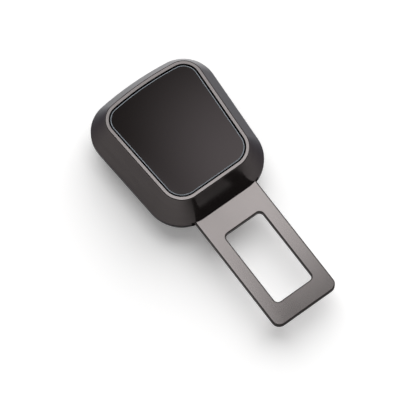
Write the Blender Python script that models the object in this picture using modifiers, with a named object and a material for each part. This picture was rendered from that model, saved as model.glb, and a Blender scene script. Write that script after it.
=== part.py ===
"""Seat belt extender: a steel tongue on a moulded head that holds a press-button socket.

Lengths are in metres. +X is the width, +Y runs from the tongue's tip to the socket's mouth and +Z
leaves the face of the button. The part lies on its back: the back face is at z = 0, and the origin
is in the middle of the part's length and width.
"""

import math

import bmesh
import bpy
from mathutils import Matrix, Vector

MM = 0.001

# Clearances
SEAT_GAP = 0.3 * MM
PRESS_CLEARANCE = 0.4 * MM
CUT_MARGIN = 2.0 * MM
UNION_SINK = 0.4 * MM

# Finishes: colour, roughness and metallic value
SATIN_HEAD = ((0.055, 0.052, 0.054), 0.3, 0.6)
DULL_BACK = ((0.05, 0.048, 0.05), 0.4, 0.3)
BRUSHED_STEEL = ((0.3, 0.285, 0.28), 0.35, 0.9)
BLACK_MOULDING = ((0.02, 0.02, 0.022), 0.5, 0.0)
RED_MOULDING = ((0.5, 0.05, 0.04), 0.5, 0.0)
SPRING_WIRE = ((0.55, 0.55, 0.56), 0.3, 1.0)
LATCH_STEEL = ((0.42, 0.42, 0.43), 0.35, 1.0)
PAD_FOAM = ((0.75, 0.75, 0.72), 0.8, 0.0)
FACE_PANEL = ((0.03, 0.028, 0.028), 0.25, 0.2)
DARK_SCREW = ((0.12, 0.12, 0.12), 0.35, 1.0)

# Tongue plate
TONGUE_WIDTH = 22.0 * MM
TONGUE_REACH = 39.0 * MM
TONGUE_THICKNESS = 2.0 * MM
TIP_RADIUS = 2.5 * MM
PLATE_EDGE = 0.3 * MM
WINDOW_WIDTH = 13.2 * MM
WINDOW_LENGTH = 25.5 * MM
WINDOW_RADIUS = 1.4 * MM
TIP_BAR = 6.2 * MM
BASE_STEP = 13.8 * MM
BASE_SHORTFALL = 4.9 * MM
BASE_CORNER = 1.5 * MM
RELIEF_GAP = 1.0 * MM
RELIEF_SLANT = 0.6 * MM
EAR_SHOULDER = 0.25 * MM
EAR_THICKNESS = 1.4 * MM
EAR_LENGTH = 6.0 * MM
EAR_INSET = 1.5 * MM

# Head outline, seen from the front
HEAD_LENGTH = 46.5 * MM
HEAD_SIDE_ROOM = 7.15 * MM
SIDE_SLOPE = 0.064
FOOT_CORNER = 11.4 * MM
TOP_CORNER = 10.4 * MM
CROWN_RADIUS = 100.0 * MM
CORNER_STEPS = 10
CROWN_STEPS = 6

# Head section
HEAD_RISE = 10.0 * MM
FRONT_FLARE = 4.4 * MM
BACK_FLARE = 2.2 * MM
BAND_HEIGHT = 0.65 * MM
SHELL_WALL = 2.0 * MM
LIP_INSET = 1.0 * MM
LIP_HEIGHT = 1.0 * MM
LIP_NOTCH_RISE = 0.1 * MM
FLOOR_THICKNESS = 1.6 * MM
RIM_WIDTH = 1.05 * MM
RIM_ROUND = 0.15 * MM
RIM_ROUND_DROP = 0.35 * MM
BACK_EDGE = 0.8 * MM
SLOT_SIDE_ROOM = 1.0 * MM

# Socket
CHANNEL_SIDE_ROOM = 0.9 * MM
CHANNEL_HEIGHT = 4.2 * MM
LINER_WALL = 1.0 * MM
LINER_END_WALL = 1.2 * MM
LINER_END_SETBACK = 0.2 * MM
LINER_ROOM = 0.5 * MM
COLLAR_DEPTH = 1.5 * MM
COLLAR_SETBACK = 3.15 * MM
COLLAR_RIM = 2.0 * MM
COLLAR_LIFT = 0.15 * MM
COLLAR_LEAD = 0.2 * MM
COLLAR_RADIUS = 1.3 * MM
COLLAR_EDGE = 0.2 * MM
COLLAR_HOLE_RADIUS = 0.6 * MM

# Latch
PIVOT_SETBACK = 19.75 * MM
PIVOT_RISE = 2.4 * MM
PIN_RADIUS = 1.0 * MM
PIN_END = 0.35 * MM
PIN_CLEARANCE = 0.25 * MM
GROOVE_DEPTH = 0.25 * MM
HUB_WALL = 0.75 * MM
LATCH_THICKNESS = 1.5 * MM
LATCH_ARM_RISE = 0.3 * MM
PRESS_ARM_DROP = 0.1 * MM
PRESS_ARM = 8.5 * MM
PRESS_POINT = 7.0 * MM
TOOTH_REACH = 10.2 * MM
TOOTH_LENGTH = 2.0 * MM
TOOTH_STEP = 1.5 * MM
TOOTH_SETBACK = 0.1 * MM
TOOTH_TIP_ROOM = 1.0 * MM
TOOTH_RAMP = 1.4 * MM
TOOTH_RAMP_HEIGHT = 2.4 * MM
LATCH_WINDOW_ROOM = 0.5 * MM
LATCH_SWING_ROOM = 1.4 * MM
CLIP_THICKNESS = 0.5 * MM
CLIP_RADIUS = 1.9 * MM
CLIP_SLOT = 1.3 * MM
CLIP_BORE_GAP = 0.15 * MM

# Button
BUTTON_TRAVEL = 1.4 * MM
FACE_THICKNESS = 1.2 * MM
FACE_SETBACK = 0.1 * MM
FACE_CHAMFER = 0.35 * MM
PAD_THICKNESS = 0.4 * MM
PAD_MARGIN = 1.0 * MM
BUTTON_ROOF = 1.2 * MM
BUTTON_SHRINK = 0.25 * MM
SKIRT_WALL = 1.2 * MM
TAB_THICKNESS = 1.3 * MM
TAB_REACH = 1.2 * MM
TAB_LENGTH = 9.0 * MM
POST_WIDTH = 8.0 * MM
POST_THICKNESS = 2.0 * MM
PEG_RADIUS = 0.9 * MM
PEG_LENGTH = 1.5 * MM

# Springs
BUTTON_COIL_RADIUS = 1.55 * MM
BUTTON_WIRE = 0.4 * MM
BUTTON_TURNS = 3
EJECTOR_COIL_RADIUS = 1.35 * MM
EJECTOR_WIRE = 0.5 * MM
EJECTOR_TURNS = 8
LATCH_COIL_RADIUS = 1.75 * MM
LATCH_WIRE = 0.5 * MM
LATCH_TURNS = 3
LATCH_COIL_GAP = 0.1 * MM
LATCH_LEG = 6.1 * MM
POINTS_PER_TURN = 8

# Ejector
EJECTOR_LENGTH = 5.0 * MM
EJECTOR_FRONT_ROOM = 0.5 * MM
EJECTOR_PEG_RADIUS = 0.75 * MM
EJECTOR_PEG_LENGTH = 2.0 * MM

# Screws
SCREW_SHANK = 0.8 * MM
SCREW_HEAD = 1.6 * MM
SCREW_HEAD_HEIGHT = 0.9 * MM
SCREW_HEAD_SINK = 0.2 * MM
SCREW_BOSS = 1.9 * MM
SCREW_TIP = 0.5 * MM
DRIVE_WIDTH = 0.45 * MM
DRIVE_LENGTH = 1.7 * MM
DRIVE_DEPTH = 0.5 * MM
FOOT_SCREW_SETBACK = 8.7 * MM
TOP_SCREW_SETBACK = 10.45 * MM
WEB_END = 1.5 * MM
PLATE_SCREW_INSET = 7.0 * MM
PLATE_SCREW_SETBACK = 9.55 * MM
PLATE_SCREW_HEAD = 1.9 * MM
PLATE_SCREW_HEAD_HEIGHT = 1.2 * MM
PLATE_SCREW_DEPTH = 5.0 * MM
PLATE_POST_RADIUS = 2.1 * MM
PILOT_ROOM = 2.0 * MM
HOLD_RIB_WIDTH = 1.6 * MM
HOLD_RIB_OVERLAP = 1.0 * MM
HOLD_RIB_LOW = 15.75 * MM
HOLD_RIB_HIGH = 6.9 * MM
HOLD_RIB_SINK = 0.5 * MM
HOLD_RIB_HEIGHT = 1.0 * MM

# Widths, each from the tongue's: the socket takes a tongue like the part's own
CHANNEL_WIDTH = TONGUE_WIDTH + 2 * CHANNEL_SIDE_ROOM
BASE_WIDTH = CHANNEL_WIDTH + 2 * LINER_WALL
HEAD_WIDTH = BASE_WIDTH + 2 * HEAD_SIDE_ROOM
EAR_OUTER = BASE_WIDTH / 2 - EAR_INSET
EAR_INNER = EAR_OUTER - EAR_THICKNESS
LATCH_COIL_PITCH = LATCH_WIRE + LATCH_COIL_GAP
LATCH_WIDTH = 2 * (EAR_INNER - 2 * SEAT_GAP - (LATCH_TURNS + 1) * LATCH_COIL_PITCH)
TOOTH_WIDTH = LATCH_WIDTH - 2 * TOOTH_STEP
HUB_RADIUS = PIN_RADIUS + PIN_CLEARANCE + HUB_WALL

# Places along Y
Y_TOP = (HEAD_LENGTH + TONGUE_REACH) / 2
Y_FOOT = Y_TOP - HEAD_LENGTH
Y_TIP = Y_FOOT - TONGUE_REACH
Y_MIDDLE = (Y_TOP + Y_FOOT) / 2
Y_BASE_END = Y_TOP - BASE_SHORTFALL
Y_COLLAR = Y_TOP - COLLAR_SETBACK
Y_PLATE_SCREW = Y_FOOT + PLATE_SCREW_SETBACK
Y_LINER = Y_PLATE_SCREW + PLATE_POST_RADIUS + LINER_ROOM
Y_PIVOT = Y_TOP - PIVOT_SETBACK
Y_TOOTH = Y_PIVOT + TOOTH_REACH
Y_EJECTOR = Y_TOOTH - TOOTH_LENGTH - EJECTOR_FRONT_ROOM
Y_PRESS = Y_PIVOT - PRESS_POINT

# Heights
Z_LINER = FLOOR_THICKNESS + SEAT_GAP
Z_CHANNEL = Z_LINER + LINER_WALL
Z_CHANNEL_TOP = Z_CHANNEL + CHANNEL_HEIGHT
Z_PLATE = Z_CHANNEL_TOP + SEAT_GAP
Z_PLATE_TOP = Z_PLATE + TONGUE_THICKNESS
Z_PARTING = (Z_PLATE + Z_PLATE_TOP) / 2
Z_FRONT_EDGE = Z_PARTING + SEAT_GAP / 2
Z_BACK_EDGE = Z_PARTING - SEAT_GAP / 2
Z_LIP = Z_BACK_EDGE + LIP_HEIGHT
Z_REBATE = Z_LIP + SEAT_GAP
Z_RIM = Z_PLATE_TOP + HEAD_RISE
Z_RIB = Z_PLATE_TOP + SEAT_GAP
Z_BOSS_TOP = Z_RIB + HOLD_RIB_HEIGHT
Z_TAB = Z_BOSS_TOP + SEAT_GAP + BUTTON_TRAVEL
Z_LEDGE = Z_TAB + TAB_THICKNESS + PRESS_CLEARANCE
Z_PIVOT = Z_PLATE_TOP + PIVOT_RISE
Z_LATCH_TOP = Z_PIVOT + LATCH_ARM_RISE
Z_FACE = Z_RIM - FACE_SETBACK
Z_PAD = Z_FACE - FACE_THICKNESS - SEAT_GAP - PAD_THICKNESS
Z_BUTTON = Z_PAD - SEAT_GAP
Z_BUTTON_UNDER = Z_BUTTON - BUTTON_ROOF

# Insets of the outline
OPENING_INSET = FRONT_FLARE + RIM_WIDTH
FACE_INSET = OPENING_INSET + PRESS_CLEARANCE
SKIRT_INSET = FACE_INSET + BUTTON_SHRINK


def clear_scene():
    """Remove every object, so that the script can be run again in one file."""
    for old in list(bpy.data.objects):
        bpy.data.objects.remove(old, do_unlink=True)


def new_collection(name):
    collection = bpy.data.collections.new(name)
    bpy.context.scene.collection.children.link(collection)
    return collection


clear_scene()
PARTS = new_collection("seat_belt_extender")
CUTTERS = new_collection("cutters")


def paint(piece, finish):
    """Give a piece a material of its own, with one of the finishes."""
    colour, roughness, metallic = finish
    material = bpy.data.materials.new(piece.name)
    material.use_nodes = True
    shader = material.node_tree.nodes["Principled BSDF"]
    shader.inputs["Base Color"].default_value = (*colour, 1.0)
    shader.inputs["Roughness"].default_value = roughness
    shader.inputs["Metallic"].default_value = metallic
    piece.data.materials.append(material)


def add_mesh(name, bm, collection=None):
    """Turn a bmesh into an object of the parts, or of the cutters."""
    mesh = bpy.data.meshes.new(name)
    bm.to_mesh(mesh)
    bm.free()
    piece = bpy.data.objects.new(name, mesh)
    (collection or PARTS).objects.link(piece)
    if collection is CUTTERS:
        piece.hide_render = True
        piece.display_type = "WIRE"
    return piece


def box(name, low, high, collection=None):
    """A box between two corners."""
    low = Vector(low)
    high = Vector(high)
    bm = bmesh.new()
    bmesh.ops.create_cube(bm, size=1.0)
    size = high - low
    bmesh.ops.scale(bm, vec=size, verts=bm.verts)
    bmesh.ops.translate(bm, vec=(low + high) / 2, verts=bm.verts)
    return add_mesh(name, bm, collection)


def cone(name, start, end, start_radius, end_radius, collection=None, segments=24):
    """A round bar or cone between two points."""
    start = Vector(start)
    end = Vector(end)
    axis = end - start
    bm = bmesh.new()
    bmesh.ops.create_cone(
        bm, cap_ends=True, segments=segments, radius1=start_radius, radius2=end_radius, depth=axis.length
    )
    turn = Vector((0, 0, 1)).rotation_difference(axis).to_matrix().to_4x4()
    bmesh.ops.transform(bm, matrix=Matrix.Translation((start + end) / 2) @ turn, verts=bm.verts)
    return add_mesh(name, bm, collection)


def cylinder(name, start, end, radius, collection=None, segments=24):
    return cone(name, start, end, radius, radius, collection, segments)


def combine(piece, tool, operation):
    """Join a tool to a piece, or cut it out of the piece."""
    modifier = piece.modifiers.new(tool.name, "BOOLEAN")
    modifier.operation = operation
    modifier.object = tool
    modifier.solver = "EXACT"


def join(piece, *tools):
    for tool in tools:
        combine(piece, tool, "UNION")


def cut(piece, *tools):
    for tool in tools:
        combine(piece, tool, "DIFFERENCE")


def round_edges(piece, width, segments=2, angle=50.0):
    modifier = piece.modifiers.new("round_edges", "BEVEL")
    modifier.width = width
    modifier.segments = segments
    modifier.limit_method = "ANGLE"
    modifier.angle_limit = math.radians(angle)


def smooth(piece, angle=35.0):
    piece.data.shade_smooth()
    piece.data.set_sharp_from_angle(angle=math.radians(angle))


def arc(centre, radius, start, end, steps):
    """Points along an arc, both ends included."""
    points = []
    for step in range(steps + 1):
        angle = start + (end - start) * step / steps
        points.append((centre[0] + radius * math.cos(angle), centre[1] + radius * math.sin(angle)))
    return points


def circle(centre, radius, steps=16):
    """Points round a circle."""
    return arc(centre, radius, 0, math.tau * (steps - 1) / steps, steps - 1)


def rounded_outline(corners, steps=5):
    """A closed outline from (x, y, radius) corners, given counter-clockwise."""
    points = []
    count = len(corners)
    for index, (x, y, radius) in enumerate(corners):
        here = Vector((x, y))
        if radius <= 0:
            points.append((x, y))
            continue
        before = (Vector(corners[index - 1][:2]) - here).normalized()
        after = (Vector(corners[(index + 1) % count][:2]) - here).normalized()
        half = before.angle(after) / 2
        centre = here + (before + after).normalized() * radius / math.sin(half)
        first = here + before * radius / math.tan(half) - centre
        last = here + after * radius / math.tan(half) - centre
        start = math.atan2(first.y, first.x)
        sweep = first.angle_signed(last)
        points += arc(centre, radius, start, start - sweep, steps)
    return points


def rectangle(low, high, radius):
    return [
        (low[0], low[1], radius),
        (high[0], low[1], radius),
        (high[0], high[1], radius),
        (low[0], high[1], radius),
    ]


def slab(name, outlines, thickness, matrix, collection=None, edge=0.0):
    """A flat outline with holes, its mid-plane at the matrix, its edges broken by edge."""
    curve = bpy.data.curves.new(name, "CURVE")
    curve.dimensions = "2D"
    curve.fill_mode = "BOTH"
    curve.extrude = thickness / 2 - edge
    curve.bevel_depth = edge
    curve.bevel_resolution = 0
    curve.offset = -edge
    for outline in outlines:
        spline = curve.splines.new("POLY")
        spline.points.add(len(outline) - 1)
        for point, (x, y) in zip(spline.points, outline):
            point.co = (x, y, 0, 1)
        spline.use_cyclic_u = True
    return meshed_curve(name, curve, matrix, collection)


def wire(name, points, diameter, collection=None):
    """A wire along its centre line, with closed ends."""
    curve = bpy.data.curves.new(name, "CURVE")
    curve.dimensions = "3D"
    curve.bevel_depth = diameter / 2
    curve.bevel_resolution = 2
    curve.use_fill_caps = True
    spline = curve.splines.new("POLY")
    spline.points.add(len(points) - 1)
    for point, place in zip(spline.points, points):
        point.co = (*place, 1)
    return meshed_curve(name, curve, Matrix.Identity(4), collection)


def meshed_curve(name, curve, matrix, collection):
    """Turn a curve into a closed mesh object and remove the curve."""
    guide = bpy.data.objects.new(name + "_guide", curve)
    bpy.context.scene.collection.objects.link(guide)
    guide.matrix_world = matrix
    bpy.context.view_layer.update()
    evaluated = guide.evaluated_get(bpy.context.evaluated_depsgraph_get())
    mesh = bpy.data.meshes.new_from_object(evaluated)
    bm = bmesh.new()
    bm.from_mesh(mesh)
    bmesh.ops.remove_doubles(bm, verts=bm.verts, dist=0.001 * MM)
    bmesh.ops.transform(bm, matrix=guide.matrix_world, verts=bm.verts)
    bmesh.ops.recalc_face_normals(bm, faces=bm.faces)
    bpy.data.meshes.remove(mesh)
    bpy.data.objects.remove(guide, do_unlink=True)
    return add_mesh(name, bm, collection)


def turned(name, profile, matrix, steps=16):
    """A turned piece: the (radius, height) profile runs from its top, down its outer side."""
    bm = bmesh.new()
    verts = [bm.verts.new((radius, 0, height)) for radius, height in profile]
    for first, second in zip(verts, verts[1:]):
        bm.edges.new((first, second))
    piece = add_mesh(name, bm)
    screw = piece.modifiers.new("turn", "SCREW")
    screw.axis = "Z"
    screw.angle = math.tau
    screw.steps = steps
    screw.render_steps = steps
    screw.use_merge_vertices = True
    screw.merge_threshold = 0.01 * MM
    screw.use_smooth_shade = True
    piece.matrix_world = matrix
    return piece


def loft(name, rings, closed=False, collection=None):
    """Walls between following rings of points; the last ring meets the first where closed."""
    bm = bmesh.new()
    rows = [[bm.verts.new(point) for point in ring] for ring in rings]
    pairs = list(zip(rows, rows[1:]))
    if closed:
        pairs.append((rows[-1], rows[0]))
    for low, high in pairs:
        count = len(low)
        for index in range(count):
            after = (index + 1) % count
            bm.faces.new((low[index], low[after], high[after], high[index]))
    if not closed:
        bm.faces.new(list(reversed(rows[0])))
        bm.faces.new(rows[-1])
    bmesh.ops.recalc_face_normals(bm, faces=bm.faces)
    return add_mesh(name, bm, collection)


def head_corners():
    """Centres of the head's right-hand corner arcs: foot and top, and the crown's centre."""
    lean = math.sqrt(1 + SIDE_SLOPE**2)

    def side_x(y, radius):
        return HEAD_WIDTH / 2 + SIDE_SLOPE * (y - Y_MIDDLE) - radius * lean

    foot_y = Y_FOOT + FOOT_CORNER
    foot = (side_x(foot_y, FOOT_CORNER), foot_y)
    crown = (0.0, Y_TOP - CROWN_RADIUS)
    reach = CROWN_RADIUS - TOP_CORNER
    start = side_x(0.0, TOP_CORNER)
    a = 1 + SIDE_SLOPE**2
    b = 2 * (start * SIDE_SLOPE - crown[1])
    c = start**2 + crown[1] ** 2 - reach**2
    top_y = (-b + math.sqrt(b * b - 4 * a * c)) / (2 * a)
    return foot, (side_x(top_y, TOP_CORNER), top_y), crown


FOOT_CENTRE, TOP_CENTRE, CROWN_CENTRE = head_corners()


def head_outline(inset):
    """The head's outline, counter-clockwise from the foot, moved inwards by inset."""
    lean = math.atan(SIDE_SLOPE)
    tangent = math.atan2(TOP_CENTRE[1] - CROWN_CENTRE[1], TOP_CENTRE[0])
    right = arc(FOOT_CENTRE, FOOT_CORNER - inset, -math.pi / 2, -lean, CORNER_STEPS)
    right += arc(TOP_CENTRE, TOP_CORNER - inset, -lean, tangent, CORNER_STEPS)
    crown = arc(CROWN_CENTRE, CROWN_RADIUS - inset, tangent, math.pi - tangent, CROWN_STEPS)
    left = [(-x, y) for x, y in reversed(right)]
    return right + crown[1:-1] + left


def head_ring(inset, z):
    return [(x, y, z) for x, y in head_outline(inset)]


def half_width(y, inset):
    """Half the head's width on its straight sides, at a height y of the outline."""
    return HEAD_WIDTH / 2 + SIDE_SLOPE * (y - Y_MIDDLE) - inset * math.sqrt(1 + SIDE_SLOPE**2)


def front_inset(z):
    """How far the front shell's sloping wall has moved in at height z."""
    start = Z_FRONT_EDGE + BAND_HEIGHT
    return FRONT_FLARE * max(0.0, z - start) / (Z_RIM - start)


def back_inset(z):
    """How far the back shell's sloping wall has moved in at height z."""
    start = Z_BACK_EDGE - BAND_HEIGHT
    return BACK_FLARE * max(0.0, start - z) / (start - BACK_EDGE)


def at(x, y, z):
    return Matrix.Translation((x, y, z))


def side_view(x):
    """The plane of a side profile: its first axis along +Y, its second along +Z, at width x."""
    return Matrix(((0, 0, 1, x), (1, 0, 0, 0), (0, 1, 0, 0), (0, 0, 0, 1)))


def end_view(y):
    """The plane of an end profile: its first axis along +X, its second along +Z, at length y."""
    return Matrix(((1, 0, 0, 0), (0, 0, -1, y), (0, 1, 0, 0), (0, 0, 0, 1)))


def screw_webs():
    """For each housing screw: its place, the turn towards the wall beside it, and its web's reach."""
    webs = []
    for x, y, centre, corner in (
        (TONGUE_WIDTH / 2, Y_FOOT + FOOT_SCREW_SETBACK, FOOT_CENTRE, FOOT_CORNER),
        (BASE_WIDTH / 2, Y_TOP - TOP_SCREW_SETBACK, TOP_CENTRE, TOP_CORNER),
    ):
        x += SEAT_GAP + SCREW_BOSS
        out = Vector((x - centre[0], y - centre[1]))
        reach = corner - WEB_END - out.length
        angle = math.atan2(out.y, out.x)
        webs.append((Vector((-x, y)), Matrix.Rotation(math.pi - angle, 4, "Z"), reach))
        webs.append((Vector((x, y)), Matrix.Rotation(angle, 4, "Z"), reach))
    return webs


def screw_places():
    return [web[0] for web in screw_webs()]


def spring_places():
    """The four button springs stand at the centres of the head's corner arcs."""
    foot = Vector(FOOT_CENTRE)
    top = Vector(TOP_CENTRE)
    return [Vector((side * place.x, place.y)) for side in (-1, 1) for place in (foot, top)]


def make_front_shell():
    """Sloping walls, a flat rim round the button, and a ledge that keeps the button in."""
    shell = loft(
        "front_shell",
        [
            head_ring(0, Z_FRONT_EDGE),
            head_ring(0, Z_FRONT_EDGE + BAND_HEIGHT),
            head_ring(front_inset(Z_RIM - RIM_ROUND_DROP), Z_RIM - RIM_ROUND_DROP),
            head_ring(FRONT_FLARE + RIM_ROUND, Z_RIM),
            head_ring(OPENING_INSET, Z_RIM),
            head_ring(OPENING_INSET, Z_LEDGE),
            head_ring(front_inset(Z_LEDGE) + SHELL_WALL, Z_LEDGE),
            head_ring(front_inset(Z_REBATE) + SHELL_WALL, Z_REBATE),
            head_ring(LIP_INSET - SEAT_GAP, Z_REBATE),
            head_ring(LIP_INSET - SEAT_GAP, Z_FRONT_EDGE),
        ],
        closed=True,
    )
    boss_height = Z_BOSS_TOP - Z_FRONT_EDGE
    for number, (place, turn, reach) in enumerate(screw_webs(), 1):
        outline = arc((0, 0), SCREW_BOSS, math.pi / 2, 3 * math.pi / 2, 8)
        outline += [(reach, -SCREW_BOSS), (reach, SCREW_BOSS)]
        matrix = at(place.x, place.y, Z_FRONT_EDGE + boss_height / 2) @ turn
        join(shell, slab(f"front_boss_{number}", [outline], boss_height, matrix, CUTTERS))
    for number, (side, y) in enumerate(hold_ribs(), 1):
        inner = BASE_WIDTH / 2 - HOLD_RIB_OVERLAP
        outer = rib_wall(y)
        low_x, high_x = sorted((side * inner, side * outer))
        low = (low_x, y - HOLD_RIB_WIDTH / 2, Z_RIB)
        high = (high_x, y + HOLD_RIB_WIDTH / 2, Z_BOSS_TOP)
        join(shell, box(f"hold_rib_{number}", low, high, CUTTERS))
    for number, place in enumerate(screw_places(), 1):
        low = (place.x, place.y, Z_FRONT_EDGE - CUT_MARGIN)
        high = (place.x, place.y, Z_BOSS_TOP - SEAT_GAP)
        cut(shell, cylinder(f"pilot_hole_{number}", low, high, SCREW_SHANK + PIN_CLEARANCE, CUTTERS, 16))
    cut(shell, slot_cutter("front_slot", Z_FRONT_EDGE - CUT_MARGIN, Z_PLATE_TOP + SEAT_GAP))
    smooth(shell)
    paint(shell, SATIN_HEAD)
    return shell


def hold_ribs():
    """The ribs that hold the base of the plate down, as (side, y)."""
    return [(side, y) for side in (-1, 1) for y in (Y_FOOT + HOLD_RIB_LOW, Y_TOP - HOLD_RIB_HIGH)]


def rib_wall(y):
    """How far out a rib reaches, to end inside the shell's wall."""
    inset = SHELL_WALL - HOLD_RIB_SINK
    rise = y - TOP_CENTRE[1]
    if rise <= 0:
        return half_width(y, inset)
    return TOP_CENTRE[0] + math.sqrt((TOP_CORNER - inset) ** 2 - rise**2)


def slot_cutter(name, low_z, high_z):
    """The slot in the head's foot that the tongue leaves by."""
    half = TONGUE_WIDTH / 2 + SLOT_SIDE_ROOM
    low = (-half, Y_FOOT - CUT_MARGIN, low_z)
    high = (half, Y_FOOT + SHELL_WALL + CUT_MARGIN, high_z)
    return box(name, low, high, CUTTERS)


def make_back_shell():
    """A shallow tray: sloping walls, screw posts, the tongue's slot and the socket's mouth."""
    shell = loft(
        "back_shell",
        [
            head_ring(BACK_FLARE + BACK_EDGE, 0),
            head_ring(BACK_FLARE, BACK_EDGE),
            head_ring(0, Z_BACK_EDGE - BAND_HEIGHT),
            head_ring(0, Z_BACK_EDGE),
            head_ring(LIP_INSET, Z_BACK_EDGE),
            head_ring(LIP_INSET, Z_LIP),
            head_ring(SHELL_WALL, Z_LIP),
            head_ring(SHELL_WALL, Z_BACK_EDGE - BAND_HEIGHT),
            head_ring(back_inset(FLOOR_THICKNESS) + SHELL_WALL, FLOOR_THICKNESS),
        ],
    )
    for number, place in enumerate(screw_places(), 1):
        low = (place.x, place.y, FLOOR_THICKNESS - UNION_SINK)
        high = (place.x, place.y, Z_BACK_EDGE)
        join(shell, cylinder(f"back_post_{number}", low, high, SCREW_BOSS, CUTTERS))
    for number, (x, y) in enumerate(plate_screw_places(), 1):
        low = (x, y, FLOOR_THICKNESS - UNION_SINK)
        join(shell, cylinder(f"plate_post_{number}", low, (x, y, Z_CHANNEL_TOP), PLATE_POST_RADIUS, CUTTERS))
    for number, (place, turn, reach) in enumerate(screw_webs(), 1):
        low = (place.x, place.y, -CUT_MARGIN)
        high = (place.x, place.y, Z_BACK_EDGE + CUT_MARGIN)
        radius = SCREW_SHANK + SEAT_GAP
        cut(shell, cylinder(f"screw_hole_{number}", low, high, radius, CUTTERS, 16))
        seat = SCREW_HEAD_SINK + SCREW_HEAD_HEIGHT + SEAT_GAP
        widening = (SCREW_HEAD - SCREW_SHANK) / SCREW_HEAD_HEIGHT
        mouth = radius + widening * (seat + CUT_MARGIN)
        high = (place.x, place.y, seat)
        cut(shell, cone(f"countersink_{number}", low, high, mouth, radius, CUTTERS))
        notch_start = SCREW_BOSS + UNION_SINK
        notch_half = SCREW_BOSS + SEAT_GAP
        notch = [
            (notch_start, -notch_half),
            (reach + SHELL_WALL, -notch_half),
            (reach + SHELL_WALL, notch_half),
            (notch_start, notch_half),
        ]
        matrix = at(place.x, place.y, Z_BACK_EDGE + LIP_NOTCH_RISE + LIP_HEIGHT) @ turn
        cut(shell, slab(f"lip_notch_{number}", [notch], 2 * LIP_HEIGHT, matrix, CUTTERS))
    for number, (x, y) in enumerate(plate_screw_places(), 1):
        low = (x, y, Z_PLATE_TOP - PLATE_SCREW_DEPTH - PILOT_ROOM)
        high = (x, y, Z_CHANNEL_TOP + CUT_MARGIN)
        cut(shell, cylinder(f"plate_pilot_{number}", low, high, SCREW_SHANK + PIN_CLEARANCE, CUTTERS, 16))
    cut(shell, slot_cutter("back_slot", Z_CHANNEL_TOP, Z_BACK_EDGE + CUT_MARGIN))
    half = CHANNEL_WIDTH / 2 + COLLAR_RIM + SEAT_GAP
    low = (-half, Y_COLLAR - COLLAR_DEPTH - SEAT_GAP, Z_LINER - SEAT_GAP / 2)
    high = (half, Y_TOP + CUT_MARGIN, Z_BACK_EDGE + CUT_MARGIN)
    cut(shell, box("mouth_cut", low, high, CUTTERS))
    smooth(shell)
    paint(shell, DULL_BACK)
    return shell


def plate_screw_places():
    x = TONGUE_WIDTH / 2 - PLATE_SCREW_INSET
    return [(side * x, Y_PLATE_SCREW) for side in (-1, 1)]


def make_tongue_plate():
    """One stamped plate: the tongue with its window, and a base with two bent-up ears."""
    half_tongue = TONGUE_WIDTH / 2
    half_base = BASE_WIDTH / 2
    step = Y_FOOT + BASE_STEP
    ear_low = Y_PIVOT - EAR_LENGTH / 2 - RELIEF_GAP
    ear_high = Y_PIVOT + EAR_LENGTH / 2 + RELIEF_GAP
    right = [
        (half_tongue, Y_TIP, TIP_RADIUS),
        (half_tongue, step, 0),
        (half_base, step + half_base - half_tongue, BASE_CORNER),
        (half_base, ear_low, 0),
        (EAR_OUTER + EAR_SHOULDER, ear_low + RELIEF_SLANT, 0),
        (EAR_OUTER + EAR_SHOULDER, ear_high - RELIEF_SLANT, 0),
        (half_base, ear_high, 0),
        (half_base, Y_BASE_END, BASE_CORNER),
    ]
    left = [(-x, y, radius) for x, y, radius in reversed(right)]
    window_low = (-WINDOW_WIDTH / 2, Y_TIP + TIP_BAR)
    window_high = (WINDOW_WIDTH / 2, Y_TIP + TIP_BAR + WINDOW_LENGTH)
    window = rounded_outline(rectangle(window_low, window_high, WINDOW_RADIUS))
    latch_low = (-TOOTH_WIDTH / 2 - LATCH_WINDOW_ROOM, Y_TOOTH - TOOTH_LENGTH - LATCH_WINDOW_ROOM)
    latch_high = (TOOTH_WIDTH / 2 + LATCH_WINDOW_ROOM, Y_TOOTH + LATCH_SWING_ROOM)
    latch_window = rounded_outline(rectangle(latch_low, latch_high, LATCH_WINDOW_ROOM), 3)
    holes = [circle(place, SCREW_SHANK + SEAT_GAP) for place in plate_screw_places()]
    plate = slab(
        "tongue_plate",
        [rounded_outline(right + left), window, latch_window, *holes],
        TONGUE_THICKNESS,
        at(0, 0, (Z_PLATE + Z_PLATE_TOP) / 2),
        edge=PLATE_EDGE,
    )
    for side, label in ((-1, "left"), (1, "right")):
        middle = side * (EAR_INNER + EAR_THICKNESS / 2)
        join(plate, slab(f"ear_{label}", [ear_outline()], EAR_THICKNESS, side_view(middle), CUTTERS))
    low = (-EAR_OUTER - CUT_MARGIN, Y_PIVOT, Z_PIVOT)
    high = (EAR_OUTER + CUT_MARGIN, Y_PIVOT, Z_PIVOT)
    cut(plate, cylinder("ear_holes", low, high, PIN_RADIUS + PIN_CLEARANCE, CUTTERS))
    smooth(plate)
    paint(plate, BRUSHED_STEEL)
    return plate


def ear_outline():
    """Side profile of an ear: straight flanks, a round top about the pin."""
    half = EAR_LENGTH / 2
    radius = HUB_RADIUS + SEAT_GAP
    foot = Z_PLATE_TOP - TONGUE_THICKNESS / 2
    outline = [(Y_PIVOT - half, foot), (Y_PIVOT + half, foot)]
    return outline + arc((Y_PIVOT, Z_PIVOT), radius, 0, math.pi, 10)


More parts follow.
